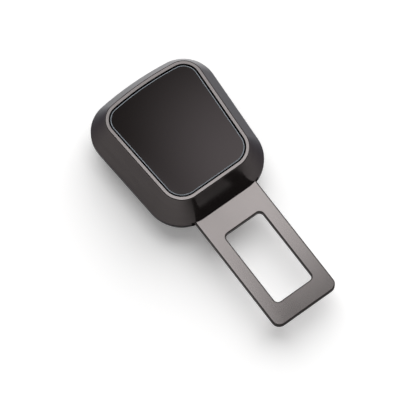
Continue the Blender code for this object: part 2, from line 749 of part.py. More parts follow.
def make_socket_liner():
    """A moulded channel with a collar round its mouth, closed at its far end."""
    half = CHANNEL_WIDTH / 2
    outer = half + LINER_WALL
    trough = [
        (-outer, Z_LINER),
        (outer, Z_LINER),
        (outer, Z_CHANNEL_TOP),
        (half, Z_CHANNEL_TOP),
        (half, Z_CHANNEL),
        (-half, Z_CHANNEL),
        (-half, Z_CHANNEL_TOP),
        (-outer, Z_CHANNEL_TOP),
    ]
    end = Y_COLLAR - COLLAR_DEPTH + UNION_SINK
    liner = slab("socket_liner", [trough], end - Y_LINER, end_view((Y_LINER + end) / 2))
    low = (-half - UNION_SINK, Y_LINER + LINER_END_SETBACK, Z_CHANNEL - UNION_SINK)
    high = (half + UNION_SINK, Y_LINER + LINER_END_WALL, Z_CHANNEL_TOP - COLLAR_LEAD)
    join(liner, box("liner_end", low, high, CUTTERS))
    start = (0, Y_LINER + LINER_END_WALL - UNION_SINK, ejector_spring_height())
    stop = (0, Y_LINER + LINER_END_WALL + EJECTOR_PEG_LENGTH, ejector_spring_height())
    join(liner, cylinder("liner_peg", start, stop, EJECTOR_PEG_RADIUS, CUTTERS, 12))
    frame_low = (-half - COLLAR_RIM, Z_LINER + COLLAR_LIFT)
    frame_high = (half + COLLAR_RIM, Z_CHANNEL_TOP + LINER_WALL)
    hole_low = (-half - COLLAR_LEAD, Z_CHANNEL - COLLAR_LEAD)
    hole_high = (half + COLLAR_LEAD, Z_CHANNEL_TOP + COLLAR_LEAD)
    collar = slab(
        "liner_collar",
        [
            rounded_outline(rectangle(frame_low, frame_high, COLLAR_RADIUS)),
            rounded_outline(rectangle(hole_low, hole_high, COLLAR_HOLE_RADIUS)),
        ],
        COLLAR_DEPTH,
        end_view(Y_COLLAR - COLLAR_DEPTH / 2),
        CUTTERS,
        COLLAR_EDGE,
    )
    join(liner, collar)
    smooth(liner)
    paint(liner, BLACK_MOULDING)
    return liner


def ejector_spring_height():
    return (Z_CHANNEL + Z_CHANNEL_TOP) / 2


def make_ejector():
    """The slider in the channel, with a peg behind it for its spring."""
    half = CHANNEL_WIDTH / 2 - SEAT_GAP
    low = (-half, Y_EJECTOR - EJECTOR_LENGTH, Z_CHANNEL + SEAT_GAP)
    high = (half, Y_EJECTOR, Z_CHANNEL_TOP)
    slider = box("ejector", low, high)
    round_edges(slider, SEAT_GAP)
    back = Y_EJECTOR - EJECTOR_LENGTH
    start = (0, back + UNION_SINK, ejector_spring_height())
    stop = (0, back - EJECTOR_PEG_LENGTH, ejector_spring_height())
    join(slider, cylinder("ejector_peg", start, stop, EJECTOR_PEG_RADIUS, CUTTERS, 12))
    smooth(slider)
    paint(slider, RED_MOULDING)
    return slider


def coil(length, radius, diameter, turns):
    """Centre line of a compression spring from 0 to length, with a flat turn at each end."""
    run = length - 2 * diameter
    points = []
    total = (turns + 2) * POINTS_PER_TURN
    for step in range(total + 1):
        turn = step / POINTS_PER_TURN
        if turn < 1:
            rise = diameter / 2 + diameter / 2 * turn
        elif turn > turns + 1:
            rise = length - diameter + diameter / 2 * (turn - turns - 1)
        else:
            rise = diameter + run * (turn - 1) / turns
        angle = math.tau * turn
        points.append((radius * math.cos(angle), radius * math.sin(angle), rise))
    return points


def make_ejector_spring():
    """A compression spring along the channel, from its end wall to the ejector."""
    start = Y_LINER + LINER_END_WALL + SEAT_GAP
    length = Y_EJECTOR - EJECTOR_LENGTH - SEAT_GAP - start
    height = ejector_spring_height()
    path = coil(length, EJECTOR_COIL_RADIUS, EJECTOR_WIRE, EJECTOR_TURNS)
    spring = wire("ejector_spring", [(x, start + z, height + y) for x, y, z in path], EJECTOR_WIRE)
    smooth(spring, 60)
    paint(spring, SPRING_WIRE)
    return spring


def make_latch():
    """A see-saw: the press arm towards the tongue, the tooth arm towards the mouth."""
    y = Y_PIVOT
    z = Z_PIVOT
    tooth_arm_low = Z_LATCH_TOP - LATCH_THICKNESS
    press_low = z - PRESS_ARM_DROP
    press_top = press_low + LATCH_THICKNESS

    def hub_angle(height):
        """The angle at which the hub's round reaches a height."""
        return math.asin((height - z) / HUB_RADIUS)

    upper = (hub_angle(Z_LATCH_TOP), math.pi - hub_angle(press_top))
    lower = (math.pi - hub_angle(press_low), math.tau + hub_angle(tooth_arm_low))
    outline = [(Y_TOOTH, tooth_arm_low), (Y_TOOTH, Z_LATCH_TOP)]
    outline += arc((y, z), HUB_RADIUS, *upper, 8)
    outline += [(y - PRESS_ARM, press_top), (y - PRESS_ARM, press_low)]
    outline += arc((y, z), HUB_RADIUS, *lower, 10)
    latch = slab("latch", [outline], LATCH_WIDTH, side_view(0))
    tip = Z_CHANNEL + TOOTH_TIP_ROOM
    back = Y_TOOTH - TOOTH_LENGTH
    tooth_outline = [
        (back, tip),
        (Y_TOOTH - TOOTH_RAMP, tip),
        (Y_TOOTH, tip + TOOTH_RAMP_HEIGHT),
        (Y_TOOTH - TOOTH_SETBACK, Z_LATCH_TOP - SEAT_GAP),
        (back, Z_LATCH_TOP - SEAT_GAP),
    ]
    join(latch, slab("tooth", [tooth_outline], TOOTH_WIDTH, side_view(0), CUTTERS))
    low = (-LATCH_WIDTH, y, z)
    cut(latch, cylinder("hub_bore", low, (LATCH_WIDTH, y, z), PIN_RADIUS + PIN_CLEARANCE, CUTTERS))
    smooth(latch)
    paint(latch, LATCH_STEEL)
    return latch


def make_latch_spring():
    """A torsion spring round the pin: one leg on the plate, one across the tooth arm."""
    start = LATCH_WIDTH / 2 + SEAT_GAP + LATCH_WIRE / 2
    radius = LATCH_COIL_RADIUS
    low = Z_PLATE_TOP + SEAT_GAP + LATCH_WIRE / 2
    over = Z_LATCH_TOP + SEAT_GAP + LATCH_WIRE / 2
    contact = Y_PIVOT + LATCH_LEG
    points = [
        (LATCH_WIDTH / 2 - 2 * LATCH_WIRE, contact, over),
        (LATCH_WIDTH / 2, contact, over),
        (start, contact - LATCH_WIRE, over),
    ]
    for step in range(LATCH_TURNS * POINTS_PER_TURN + POINTS_PER_TURN // 2 + 1):
        angle = math.tau * step / POINTS_PER_TURN
        along = start + LATCH_COIL_PITCH * step / POINTS_PER_TURN
        points.append((along, Y_PIVOT + radius * -math.sin(angle), Z_PIVOT + radius * math.cos(angle)))
    end = start + LATCH_COIL_PITCH * (LATCH_TURNS + 1 / 2)
    points.append((end, Y_PIVOT + PRESS_POINT / 2, low))
    points.append((end, Y_PIVOT + PRESS_POINT, low))
    spring = wire("latch_spring", points, LATCH_WIRE)
    smooth(spring, 60)
    paint(spring, SPRING_WIRE)
    return spring


def clip_place():
    """Where a clip starts along the pin, outside the ear."""
    return EAR_OUTER + SEAT_GAP


def make_pivot_pin():
    """A turned pin with a groove near each end for its clips."""
    start = clip_place() - SEAT_GAP / 2
    stop = clip_place() + CLIP_THICKNESS + SEAT_GAP / 2
    end = stop + PIN_END
    groove = PIN_RADIUS - GROOVE_DEPTH
    upper = [
        (0, end),
        (PIN_RADIUS, end),
        (PIN_RADIUS, stop),
        (groove, stop),
        (groove, start),
        (PIN_RADIUS, start),
    ]
    lower = [(radius, -height) for radius, height in reversed(upper)]
    matrix = Matrix.Translation((0, Y_PIVOT, Z_PIVOT)) @ Matrix.Rotation(math.pi / 2, 4, "Y")
    pin = turned("pivot_pin", upper + lower, matrix)
    paint(pin, LATCH_STEEL)
    return pin


def make_pin_clips():
    """A C-shaped clip in each groove of the pin, open towards the head's foot."""
    clips = []
    inner = PIN_RADIUS - GROOVE_DEPTH + CLIP_BORE_GAP
    half = math.asin(CLIP_SLOT / 2 / CLIP_RADIUS)
    inner_half = math.asin(CLIP_SLOT / 2 / inner)
    for side, label in ((-1, "left"), (1, "right")):
        outline = arc((0, 0), CLIP_RADIUS, -math.pi + half, math.pi - half, 20)
        outline += arc((0, 0), inner, math.pi - inner_half, -math.pi + inner_half, 14)
        outline = [(Y_PIVOT + along, Z_PIVOT + up) for along, up in outline]
        middle = side * (clip_place() + CLIP_THICKNESS / 2)
        clip = slab(f"pin_clip_{label}", [outline], CLIP_THICKNESS, side_view(middle))
        paint(clip, LATCH_STEEL)
        clips.append(clip)
    return clips


def make_button_body():
    """A cap that is open below: a roof, a skirt, tabs under the shell's ledge and a press post."""
    inner = SKIRT_INSET + SKIRT_WALL
    edge = BUTTON_SHRINK
    button = loft(
        "button_body",
        [
            head_ring(inner, Z_BUTTON_UNDER),
            head_ring(inner, Z_TAB),
            head_ring(SKIRT_INSET, Z_TAB),
            head_ring(SKIRT_INSET, Z_BUTTON - edge),
            head_ring(SKIRT_INSET + edge, Z_BUTTON),
        ],
    )
    tab_top = Z_TAB + TAB_THICKNESS
    half = TAB_LENGTH / 2
    reach = SKIRT_INSET - TAB_REACH
    sunk = SKIRT_INSET + SKIRT_WALL - UNION_SINK
    out_x = half_width(Y_MIDDLE - half, reach)
    in_x = half_width(Y_MIDDLE + half, sunk)
    low_y = Y_MIDDLE - half
    high_y = Y_MIDDLE + half
    for name, low, high in (
        ("tab_right", (in_x, low_y), (out_x, high_y)),
        ("tab_left", (-out_x, low_y), (-in_x, high_y)),
        ("tab_foot", (-half, Y_FOOT + reach), (half, Y_FOOT + sunk)),
        ("tab_top", (-half, Y_TOP - sunk), (half, Y_TOP - reach - RIM_ROUND)),
    ):
        join(button, box(name, (*low, Z_TAB), (*high, tab_top), CUTTERS))
    post_foot = Z_PIVOT - PRESS_ARM_DROP + LATCH_THICKNESS + PRESS_CLEARANCE
    low = (-POST_WIDTH / 2, Y_PRESS - POST_THICKNESS / 2, post_foot)
    high = (POST_WIDTH / 2, Y_PRESS + POST_THICKNESS / 2, Z_BUTTON_UNDER + UNION_SINK)
    join(button, box("press_post", low, high, CUTTERS))
    for number, place in enumerate(spring_places(), 1):
        top = (place.x, place.y, Z_BUTTON_UNDER + UNION_SINK)
        foot = (place.x, place.y, Z_BUTTON_UNDER - PEG_LENGTH)
        join(button, cylinder(f"spring_peg_{number}", top, foot, PEG_RADIUS, CUTTERS, 12))
    smooth(button)
    paint(button, BLACK_MOULDING)
    return button


def make_face_pad():
    """The adhesive pad between the button and its face plate."""
    inset = FACE_INSET + PAD_MARGIN
    pad = loft("face_pad", [head_ring(inset, Z_PAD), head_ring(inset, Z_PAD + PAD_THICKNESS)])
    smooth(pad)
    paint(pad, PAD_FOAM)
    return pad


def make_face_plate():
    """The dark panel that is seen in the rim, with a chamfered edge."""
    bottom = Z_FACE - FACE_THICKNESS
    plate = loft(
        "face_plate",
        [
            head_ring(FACE_INSET, bottom),
            head_ring(FACE_INSET, Z_FACE - FACE_CHAMFER),
            head_ring(FACE_INSET + FACE_CHAMFER, Z_FACE),
        ],
    )
    smooth(plate, 25)
    paint(plate, FACE_PANEL)
    return plate


def make_button_springs():
    """Four compression springs between the plate and the button's roof."""
    springs = []
    start = Z_PLATE_TOP + SEAT_GAP
    length = Z_BUTTON_UNDER - SEAT_GAP - start
    path = coil(length, BUTTON_COIL_RADIUS, BUTTON_WIRE, BUTTON_TURNS)
    for number, place in enumerate(spring_places(), 1):
        points = [(place.x + x, place.y + y, start + z) for x, y, z in path]
        spring = wire(f"button_spring_{number}", points, BUTTON_WIRE)
        smooth(spring, 60)
        paint(spring, SPRING_WIRE)
        springs.append(spring)
    return springs


def make_housing_screws():
    """Four countersunk screws from the back shell into the front shell."""
    screws = []
    head = SCREW_HEAD_SINK + SCREW_HEAD_HEIGHT
    end = Z_BOSS_TOP - 2 * SEAT_GAP
    profile = [
        (0, end),
        (SCREW_SHANK - SEAT_GAP, end),
        (SCREW_SHANK, end - SCREW_TIP),
        (SCREW_SHANK, head),
        (SCREW_HEAD, SCREW_HEAD_SINK),
        (0, SCREW_HEAD_SINK),
    ]
    slots = ((DRIVE_LENGTH, DRIVE_WIDTH), (DRIVE_WIDTH, DRIVE_LENGTH))
    for number, place in enumerate(screw_places(), 1):
        screw = turned(f"housing_screw_{number}", profile, at(place.x, place.y, 0))
        for turn, (size_x, size_y) in enumerate(slots, 1):
            low = (place.x - size_x / 2, place.y - size_y / 2, -CUT_MARGIN)
            high = (place.x + size_x / 2, place.y + size_y / 2, SCREW_HEAD_SINK + DRIVE_DEPTH)
            cut(screw, box(f"drive_{number}_{turn}", low, high, CUTTERS))
        paint(screw, DARK_SCREW)
        screws.append(screw)
    return screws


def make_plate_screws():
    """Two screws that hold the tongue plate down on the back shell's posts."""
    screws = []
    seat = Z_PLATE_TOP + SEAT_GAP
    top = seat + PLATE_SCREW_HEAD_HEIGHT
    end = Z_PLATE_TOP - PLATE_SCREW_DEPTH
    profile = [
        (0, top),
        (PLATE_SCREW_HEAD - SEAT_GAP, top),
        (PLATE_SCREW_HEAD, top - SEAT_GAP),
        (PLATE_SCREW_HEAD, seat),
        (SCREW_SHANK, seat),
        (SCREW_SHANK, end + SCREW_TIP),
        (SCREW_SHANK - SEAT_GAP, end),
        (0, end),
    ]
    for (x, y), label in zip(plate_screw_places(), ("left", "right")):
        screw = turned(f"plate_screw_{label}", profile, at(x, y, 0))
        paint(screw, LATCH_STEEL)
        screws.append(screw)
    return screws


def main():
    make_front_shell()
    make_back_shell()
    make_tongue_plate()
    make_socket_liner()
    make_ejector()
    make_ejector_spring()
    make_latch()
    make_latch_spring()
    make_pivot_pin()
    make_pin_clips()
    make_button_body()
    make_face_pad()
    make_face_plate()
    make_button_springs()
    make_housing_screws()
    make_plate_screws()


main()
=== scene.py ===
"""Looks of a seat belt extender, built round the fixed frame of its model.

The frame gives each piece's place. The covers, the steel plate, the panel, the socket, the springs
and the screws are made again here with fine edges, and every other piece gets its finish.
Lengths are in metres: +Y runs from the tongue's tip to the socket's mouth, +Z out of the panel.
"""

import math

import bmesh
import bpy
from bpy.props import FloatProperty, FloatVectorProperty, IntProperty, PointerProperty
from mathutils import Matrix, Vector


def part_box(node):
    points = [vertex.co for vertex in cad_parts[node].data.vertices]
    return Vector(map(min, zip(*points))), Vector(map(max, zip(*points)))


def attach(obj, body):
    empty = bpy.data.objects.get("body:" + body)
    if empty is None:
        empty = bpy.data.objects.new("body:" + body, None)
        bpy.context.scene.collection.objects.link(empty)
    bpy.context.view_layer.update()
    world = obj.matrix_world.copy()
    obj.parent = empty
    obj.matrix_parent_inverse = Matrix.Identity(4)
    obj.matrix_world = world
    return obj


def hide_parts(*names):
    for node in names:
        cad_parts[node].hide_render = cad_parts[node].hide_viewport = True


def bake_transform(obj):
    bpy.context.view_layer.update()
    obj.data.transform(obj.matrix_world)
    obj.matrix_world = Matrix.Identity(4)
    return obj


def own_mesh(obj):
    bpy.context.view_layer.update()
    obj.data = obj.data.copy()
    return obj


bl_info = {
    "name": "Seat Belt Extender",
    "version": (1, 0, 0),
    "blender": (4, 5, 0),
    "location": "3D View > Sidebar > Extender",
    "description": "Builds the covers, plate, panel, socket, springs and studio of a seat belt extender",
    "category": "Add Mesh",
}

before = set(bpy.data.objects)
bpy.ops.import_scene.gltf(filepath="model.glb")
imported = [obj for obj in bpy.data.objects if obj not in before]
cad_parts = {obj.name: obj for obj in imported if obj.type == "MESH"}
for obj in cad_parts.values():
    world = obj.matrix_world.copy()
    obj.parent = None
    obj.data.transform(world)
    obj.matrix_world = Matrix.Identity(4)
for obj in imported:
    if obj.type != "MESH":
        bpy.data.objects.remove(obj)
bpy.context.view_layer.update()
MM = 0.001

# Places that the frame gives
FRONT_LOW, FRONT_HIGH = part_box("front_shell")
BACK_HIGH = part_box("back_shell")[1]
PLATE_LOW, PLATE_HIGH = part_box("tongue_plate")
LINER_LOW, LINER_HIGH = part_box("socket_liner")
PANEL_LOW, PANEL_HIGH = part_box("face_plate")
PIN_LOW, PIN_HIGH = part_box("pivot_pin")
LATCH_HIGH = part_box("latch")[1]
EJECTOR_LOW, EJECTOR_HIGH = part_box("ejector")

# Clearances
SEAT_GAP = 0.3 * MM
PRESS_CLEARANCE = 0.4 * MM
PIN_CLEARANCE = 0.25 * MM

# Cutting, joining and welding
CUT_MARGIN = 2.0 * MM
UNION_SINK = 0.4 * MM
OUTLINE_TRIM = 0.016 * MM
CURVE_WELD = 0.0005 * MM
TURNED_WELD = 0.001 * MM
LEVEL_NORMAL = 0.9995
EDGE_SHARP = 32.0
PANEL_SHARP = 25.0
SPRING_SHARP = 60.0
EDGE_STEPS = 3
WIRE_STEPS = 4
FINE_SEGMENTS = 48
HOLE_SEGMENTS = 32
SMALL_SEGMENTS = 24
SECTION_STEPS = 6
PANEL_STEPS = 4
ROUND_STEPS = 8
FINE_ROUND_STEPS = 10
SMALL_ROUND_STEPS = 6

# Head outline
HEAD_WIDTH = 40.1 * MM
SIDE_SLOPE = 0.064
FOOT_CORNER = 11.4 * MM
TOP_CORNER = 10.4 * MM
CROWN_RADIUS = 100.0 * MM
Y_TOP = FRONT_HIGH.y
Y_FOOT = FRONT_LOW.y
Y_MIDDLE = (Y_TOP + Y_FOOT) / 2

# Head section
FRONT_FLARE = 4.4 * MM
BACK_FLARE = 2.2 * MM
BAND_HEIGHT = 0.65 * MM
SHELL_WALL = 2.0 * MM
LIP_INSET = 1.0 * MM
LIP_HEIGHT = 1.0 * MM
LIP_NOTCH_RISE = 0.1 * MM
FLOOR_THICKNESS = 1.6 * MM
RIM_WIDTH = 1.05 * MM
BACK_EDGE = 0.8 * MM
SLOT_SIDE_ROOM = 1.0 * MM
Z_RIM = FRONT_HIGH.z
Z_FRONT_EDGE = FRONT_LOW.z
Z_LIP = BACK_HIGH.z
Z_BACK_EDGE = Z_LIP - LIP_HEIGHT
Z_REBATE = Z_LIP + SEAT_GAP
OPENING_INSET = FRONT_FLARE + RIM_WIDTH
PANEL_MARGIN = 0.07 * MM
PANEL_GAP = PRESS_CLEARANCE + PANEL_MARGIN
PANEL_INSET = OPENING_INSET + PANEL_GAP
# Normals of the chamfer's faces that get the painted highlight
CHAMFER_NORMALS = (0.2, 0.97)

# Steel plate
TONGUE_WIDTH = 22.0 * MM
TONGUE_THICKNESS = 2.0 * MM
TIP_RADIUS = 2.5 * MM
WINDOW_WIDTH = 13.2 * MM
WINDOW_LENGTH = 25.5 * MM
WINDOW_RADIUS = 1.4 * MM
TIP_BAR = 6.2 * MM
BASE_STEP = 13.8 * MM
BASE_CORNER = 1.5 * MM
RELIEF_GAP = 1.0 * MM
RELIEF_SLANT = 0.6 * MM
EAR_SHOULDER = 0.25 * MM
EAR_THICKNESS = 1.4 * MM
EAR_LENGTH = 6.0 * MM
EAR_INSET = 1.5 * MM
EAR_ROUND = 2.3 * MM
LATCH_WINDOW_ROOM = 0.5 * MM
LATCH_SWING_ROOM = 1.4 * MM
TOOTH_LENGTH = 2.0 * MM
TOOTH_STEP = 1.5 * MM
HALF_BASE = PLATE_HIGH.x
EAR_OUTER = HALF_BASE - EAR_INSET
Y_BASE_END = PLATE_HIGH.y
Z_PLATE = PLATE_LOW.z
Z_PLATE_TOP = Z_PLATE + TONGUE_THICKNESS
Y_PIVOT = (PIN_LOW.y + PIN_HIGH.y) / 2
Z_PIVOT = (PIN_LOW.z + PIN_HIGH.z) / 2
PIN_RADIUS = (PIN_HIGH.z - PIN_LOW.z) / 2

# Socket
CHANNEL_WIDTH = 23.8 * MM
LINER_WALL = 1.0 * MM
LINER_END_WALL = 1.2 * MM
COLLAR_DEPTH = 1.5 * MM
COLLAR_RIM = 2.0 * MM
COLLAR_LIFT = 0.15 * MM
COLLAR_LEAD = 0.2 * MM
COLLAR_RADIUS = 1.3 * MM
COLLAR_EDGE = 0.25 * MM
COLLAR_HOLE_RADIUS = 0.6 * MM
EJECTOR_LENGTH = 5.0 * MM
SPRING_PEG_RADIUS = 0.75 * MM
SPRING_PEG_LENGTH = 2.0 * MM
Z_LINER = LINER_LOW.z
Z_CHANNEL = Z_LINER + LINER_WALL
Z_CHANNEL_TOP = Z_PLATE - SEAT_GAP
Y_LINER = LINER_LOW.y
Y_COLLAR = LINER_HIGH.y
Z_EJECTOR_SPRING = (Z_CHANNEL + Z_CHANNEL_TOP) / 2

# Screws
SCREW_SHANK = 0.8 * MM
SCREW_HEAD = 1.6 * MM
SCREW_HEAD_HEIGHT = 0.9 * MM
SCREW_HEAD_SINK = 0.2 * MM
SCREW_BOSS = 1.9 * MM
SCREW_TIP = 0.5 * MM
SCREW_EDGE = 0.075 * MM
DRIVE_WIDTH = 0.45 * MM
DRIVE_LENGTH = 1.7 * MM
DRIVE_DEPTH = 0.5 * MM
FOOT_SCREW_SETBACK = 8.7 * MM
TOP_SCREW_SETBACK = 10.45 * MM
WEB_END = 1.5 * MM
PLATE_SCREW_INSET = 7.0 * MM
PLATE_SCREW_SETBACK = 9.55 * MM
PLATE_SCREW_DEPTH = 5.0 * MM
PLATE_POST_RADIUS = 2.1 * MM
PILOT_ROOM = 2.0 * MM
HOLD_RIB_WIDTH = 1.6 * MM
HOLD_RIB_OVERLAP = 1.0 * MM
HOLD_RIB_LOW = 15.75 * MM
HOLD_RIB_HIGH = 6.9 * MM
HOLD_RIB_SINK = 0.5 * MM
HOLD_RIB_HEIGHT = 1.0 * MM
TAB_THICKNESS = 1.3 * MM
BUTTON_TRAVEL = 1.4 * MM
Z_RIB = Z_PLATE_TOP + SEAT_GAP
Z_BOSS_TOP = Z_RIB + HOLD_RIB_HEIGHT
Z_LEDGE = Z_BOSS_TOP + SEAT_GAP + BUTTON_TRAVEL + TAB_THICKNESS + PRESS_CLEARANCE

# Springs
BUTTON_COIL_RADIUS = 1.55 * MM
BUTTON_WIRE = 0.4 * MM
BUTTON_TURNS = 3
BUTTON_SPRINGS = 4
EJECTOR_COIL_RADIUS = 1.35 * MM
EJECTOR_WIRE = 0.5 * MM
EJECTOR_TURNS = 8
LATCH_COIL_RADIUS = 1.75 * MM
LATCH_WIRE = 0.5 * MM
LATCH_TURNS = 3
LATCH_COIL_PITCH = 0.6 * MM
LATCH_LEG = 6.1 * MM
LATCH_ARM_RISE = 0.3 * MM
PRESS_POINT = 7.0 * MM

# Patterns of the finishes
NOISE_LOW = 0.3
NOISE_HIGH = 0.7
COLOUR_DETAIL = 3.0
ROUGHNESS_DETAIL = 4.0
FLOOR_DETAIL = 2.0
ROUGHNESS_SCALE = 2.5
GRAIN_DETAIL = 2.0
GRAIN_HEIGHT = 0.02 * MM
EVEN = (1.0, 1.0, 1.0)

# Camera and floor
CAMERA_AIM = (-5.28 * MM, -1.48 * MM, 9.44 * MM)
CAMERA_NEAR = 0.05
CAMERA_FAR = 20.0
SENSOR_WIDTH = 36.0
FLOOR_SIZE = 6.0
FLOOR_DROP = 0.1 * MM
FLOOR_SPREAD = 0.004
FLOOR_PATCHES = 3.0
FLOOR_DULL_PATCHES = 40.0
FLOOR_ROUGHNESS = (0.85, 0.95)

# Room and key light
ROOM_COLOUR = (1.0, 0.985, 0.98, 1.0)
ROOM_LOW = 0.2
ROOM_HIGH = 0.75
FRONT_SHADE = -0.16
KEY_DIRECTION = (0.43, 0.46, 0.77)

# Softbox, and for each of its glows: middle across and along, half width, half length and brightness
SOFTBOX_HEIGHT = 120.0 * MM
SOFTBOX_SIZE = 210.0 * MM
SOFTBOX_GLOWS = (
    (12.8 * MM, -5.5 * MM, 48.3 * MM, 63.0 * MM, 1.27),
    (-34.4 * MM, -20.0 * MM, 27.2 * MM, 80.0 * MM, 3.1),
)

# Sheet of painted shade on the floor in front of the head, seen only in reflections
FLAG_SIZE = 160.0 * MM
FLAG_MIDDLE = (0.0, -60.0 * MM)
FLAG_REACH = (75.0 * MM, 55.0 * MM)
FLAG_SHADE = 0.1

# For each finish: the material's name, how metallic it is, its roughness from and to, the spread of its
# colour, patches and grains a metre, the grain's relief, the pattern's stretch and the shader's constants
FINISHES = {
    "lacquer": (
        "head_lacquer", 1.0, (0.17, 0.2), 0.05, 700.0, 6000.0, 0.012, (0.12, 0.12, 1.0),
        {"Specular Tint": (0.42, 0.422, 0.44, 1.0)},
    ),
    "rim": ("pale_rim", 0.4, (0.28, 0.34), 0.05, 60.0, 9000.0, 0.1, EVEN, {}),
    "back": ("back_moulding", 0.0, (0.36, 0.46), 0.1, 60.0, 3500.0, 0.5, EVEN, {}),
    "steel": ("gunmetal_steel", 1.0, (0.2, 0.24), 0.03, 60.0, 6000.0, 0.004, (1.0, 0.35, 1.0), {}),
    # Dark sheared sides of the plate, and painted shade on the rounded edges of its plated faces
    "cut_edge_and_shade": (
        "sheared_edge", 0.0, (0.45, 0.55), 0.18, 60.0, 2500.0, 0.2, (1.0, 1.0, 0.15),
        {"Specular IOR Level": 0.3},
    ),
    "panel": (
        "dark_panel", 0.0, (0.07, 0.1), 0.08, 30.0, 6000.0, 0.02, EVEN,
        {"IOR": 1.6, "Specular Tint": (1.0, 0.88, 0.91, 1.0)},
    ),
    # The chamfer's pale bluish colour is a painted highlight along the panel's edge
    "chamfer": ("polished_chamfer", 0.5, (0.3, 0.4), 0.1, 60.0, 6000.0, 0.15, EVEN, {}),
    "moulding": ("black_moulding", 0.0, (0.42, 0.56), 0.15, 60.0, 3000.0, 0.5, EVEN, {}),
    "ejector": ("red_moulding", 0.0, (0.38, 0.5), 0.1, 60.0, 3000.0, 0.4, EVEN, {}),
    "spring": ("spring_wire", 1.0, (0.2, 0.3), 0.06, 60.0, 9000.0, 0.15, EVEN, {}),
    "zinc": ("zinc_plating", 1.0, (0.28, 0.42), 0.1, 250.0, 6000.0, 0.2, EVEN, {}),
    "screw": ("black_oxide", 0.9, (0.3, 0.42), 0.15, 500.0, 6000.0, 0.25, EVEN, {}),
    "pad": ("foam_pad", 0.0, (0.8, 0.95), 0.05, 60.0, 2000.0, 0.7, EVEN, {}),
}


def length_property(name, description, default):
    """A length that the user may change."""
    return FloatProperty(name=name, description=description, default=default, unit="LENGTH")


def count_property(name, description, default, lowest):
    """A number of points that the user may change."""
    return IntProperty(name=name, description=description, default=default, min=lowest)


def angle_property(name, description, degrees):
    """An angle that the user may change."""
    return FloatProperty(name=name, description=description, default=math.radians(degrees), subtype="ANGLE")


def level_property(name, description, default):
    """A brightness that the user may change."""
    return FloatProperty(name=name, description=description, default=default, min=0.0)


def colour_property(name, description, default):
    """A colour that the user may change."""
    return FloatVectorProperty(
        name=name, description=description, default=default, size=3, subtype="COLOR", min=0.0, max=1.0
    )


class ExtenderSizes(bpy.types.PropertyGroup):
    """How finely the edges and coils are made."""

    rim_edge: length_property("Rim edge", "Radius of the rim's dark outer edge", 0.4 * MM)
    girth_round: length_property("Girth round", "Radius where the wall meets the girth", 0.5 * MM)
    parting_edge: length_property("Parting edge", "Radius of the covers' meeting edges", 0.1 * MM)
    plate_edge: length_property("Plate edge", "Radius of the steel plate's edges", 0.36 * MM)
    panel_chamfer: length_property("Panel chamfer", "Width of the panel's bright chamfer", 0.22 * MM)
    corner_steps: count_property("Corner steps", "Points along each corner of the head", 28, 6)
    crown_steps: count_property("Crown steps", "Points along the crowned top of the head", 24, 4)
    coil_points: count_property("Coil points", "Points on each turn of a spring", 24, 8)


class ExtenderColours(bpy.types.PropertyGroup):
    """Base colours of the finishes."""

    lacquer: colour_property("Head lacquer", "Gunmetal lacquer of the front cover", (0.065, 0.058, 0.057))
    rim: colour_property("Rim", "Pale satin rim round the panel", (0.35, 0.322, 0.319))
    back: colour_property("Back cover", "Dark satin moulding of the back cover", (0.02, 0.019, 0.019))
    steel: colour_property("Steel", "Gunmetal plating of the steel plate", (0.352, 0.324, 0.32))
    # Dark sheared sides, also painted shade on the plate's rounded edges
    cut_edge_and_shade: colour_property("Cut edge", "Dark sheared edge of the steel plate", (0.03, 0.026, 0.0245))
    panel: colour_property("Panel", "Dark panel in the head's face", (0.008, 0.0066, 0.006))
    # Pale bluish colour of the chamfer: a painted highlight
    chamfer: colour_property("Panel chamfer", "Polished chamfer of the panel", (0.56, 0.625, 0.69))
    moulding: colour_property("Moulding", "Black inner mouldings", (0.012, 0.012, 0.013))
    ejector: colour_property("Ejector", "Red slider in the socket", (0.42, 0.03, 0.022))
    spring: colour_property("Spring", "Bright spring wire", (0.55, 0.55, 0.57))
    zinc: colour_property("Zinc", "Zinc plated latch, pin and plate screws", (0.42, 0.42, 0.43))
    screw: colour_property("Screw", "Blackened housing screws", (0.07, 0.07, 0.072))
    pad: colour_property("Adhesive pad", "Pale foam between button and panel", (0.72, 0.72, 0.69))
    floor: colour_property("Floor", "Pale floor under the part", (1.0, 1.0, 1.0))


class ExtenderStudio(bpy.types.PropertyGroup):
    """Light and camera."""

    key_strength: level_property("Key", "Strength of the large key light", 2.75)
    key_softness: angle_property("Key softness", "Apparent size of the key light", 76)
    zenith: level_property("Zenith", "Brightness of the room overhead", 0.1)
    horizon: level_property("Horizon", "Brightness of the room at eye level", 0.85)
    softbox: level_property("Softbox", "Brightness of the overhead softbox", 1.0)
    floor_lift: level_property("Floor lift", "Even glow of the floor as the camera and mirrors see it", 0.14)
    camera_azimuth: angle_property("Camera azimuth", "Turn of the camera round the part", -38.14)
    camera_elevation: angle_property("Camera elevation", "Height of the camera over the horizon", 71.33)
    camera_roll: angle_property("Camera roll", "Turn of the picture", 1.65)
    camera_distance: length_property("Camera distance", "From the camera to its aim", 1.1627)
    camera_lens: FloatProperty(
        name="Lens", description="Focal length for a 36 mm sensor", default=346.6, subtype="DISTANCE_CAMERA"
    )


def sizes():
    return bpy.context.scene.extender_sizes


def colours():
    return bpy.context.scene.extender_colours


def studio():
    return bpy.context.scene.extender_studio


def feed(node, inputs):
    """Give a node's inputs their values, or links where they are sockets."""
    for name, value in inputs.items():
        if isinstance(value, bpy.types.NodeSocket):
            node.id_data.links.new(value, node.inputs[name])
        else:
            node.inputs[name].default_value = value


def add_node(tree, kind, inputs, **settings):
    """Add a node with its settings and inputs, and give its outputs."""
    node = tree.nodes.new(kind)
    for name, value in settings.items():
        setattr(node, name, value)
    feed(node, inputs)
    return node.outputs


def new_material(name):
    """A node material with its Principled shader."""
    material = bpy.data.materials.new(name)
    material.use_nodes = True
    tree = material.node_tree
    return material, tree, tree.nodes["Principled BSDF"]


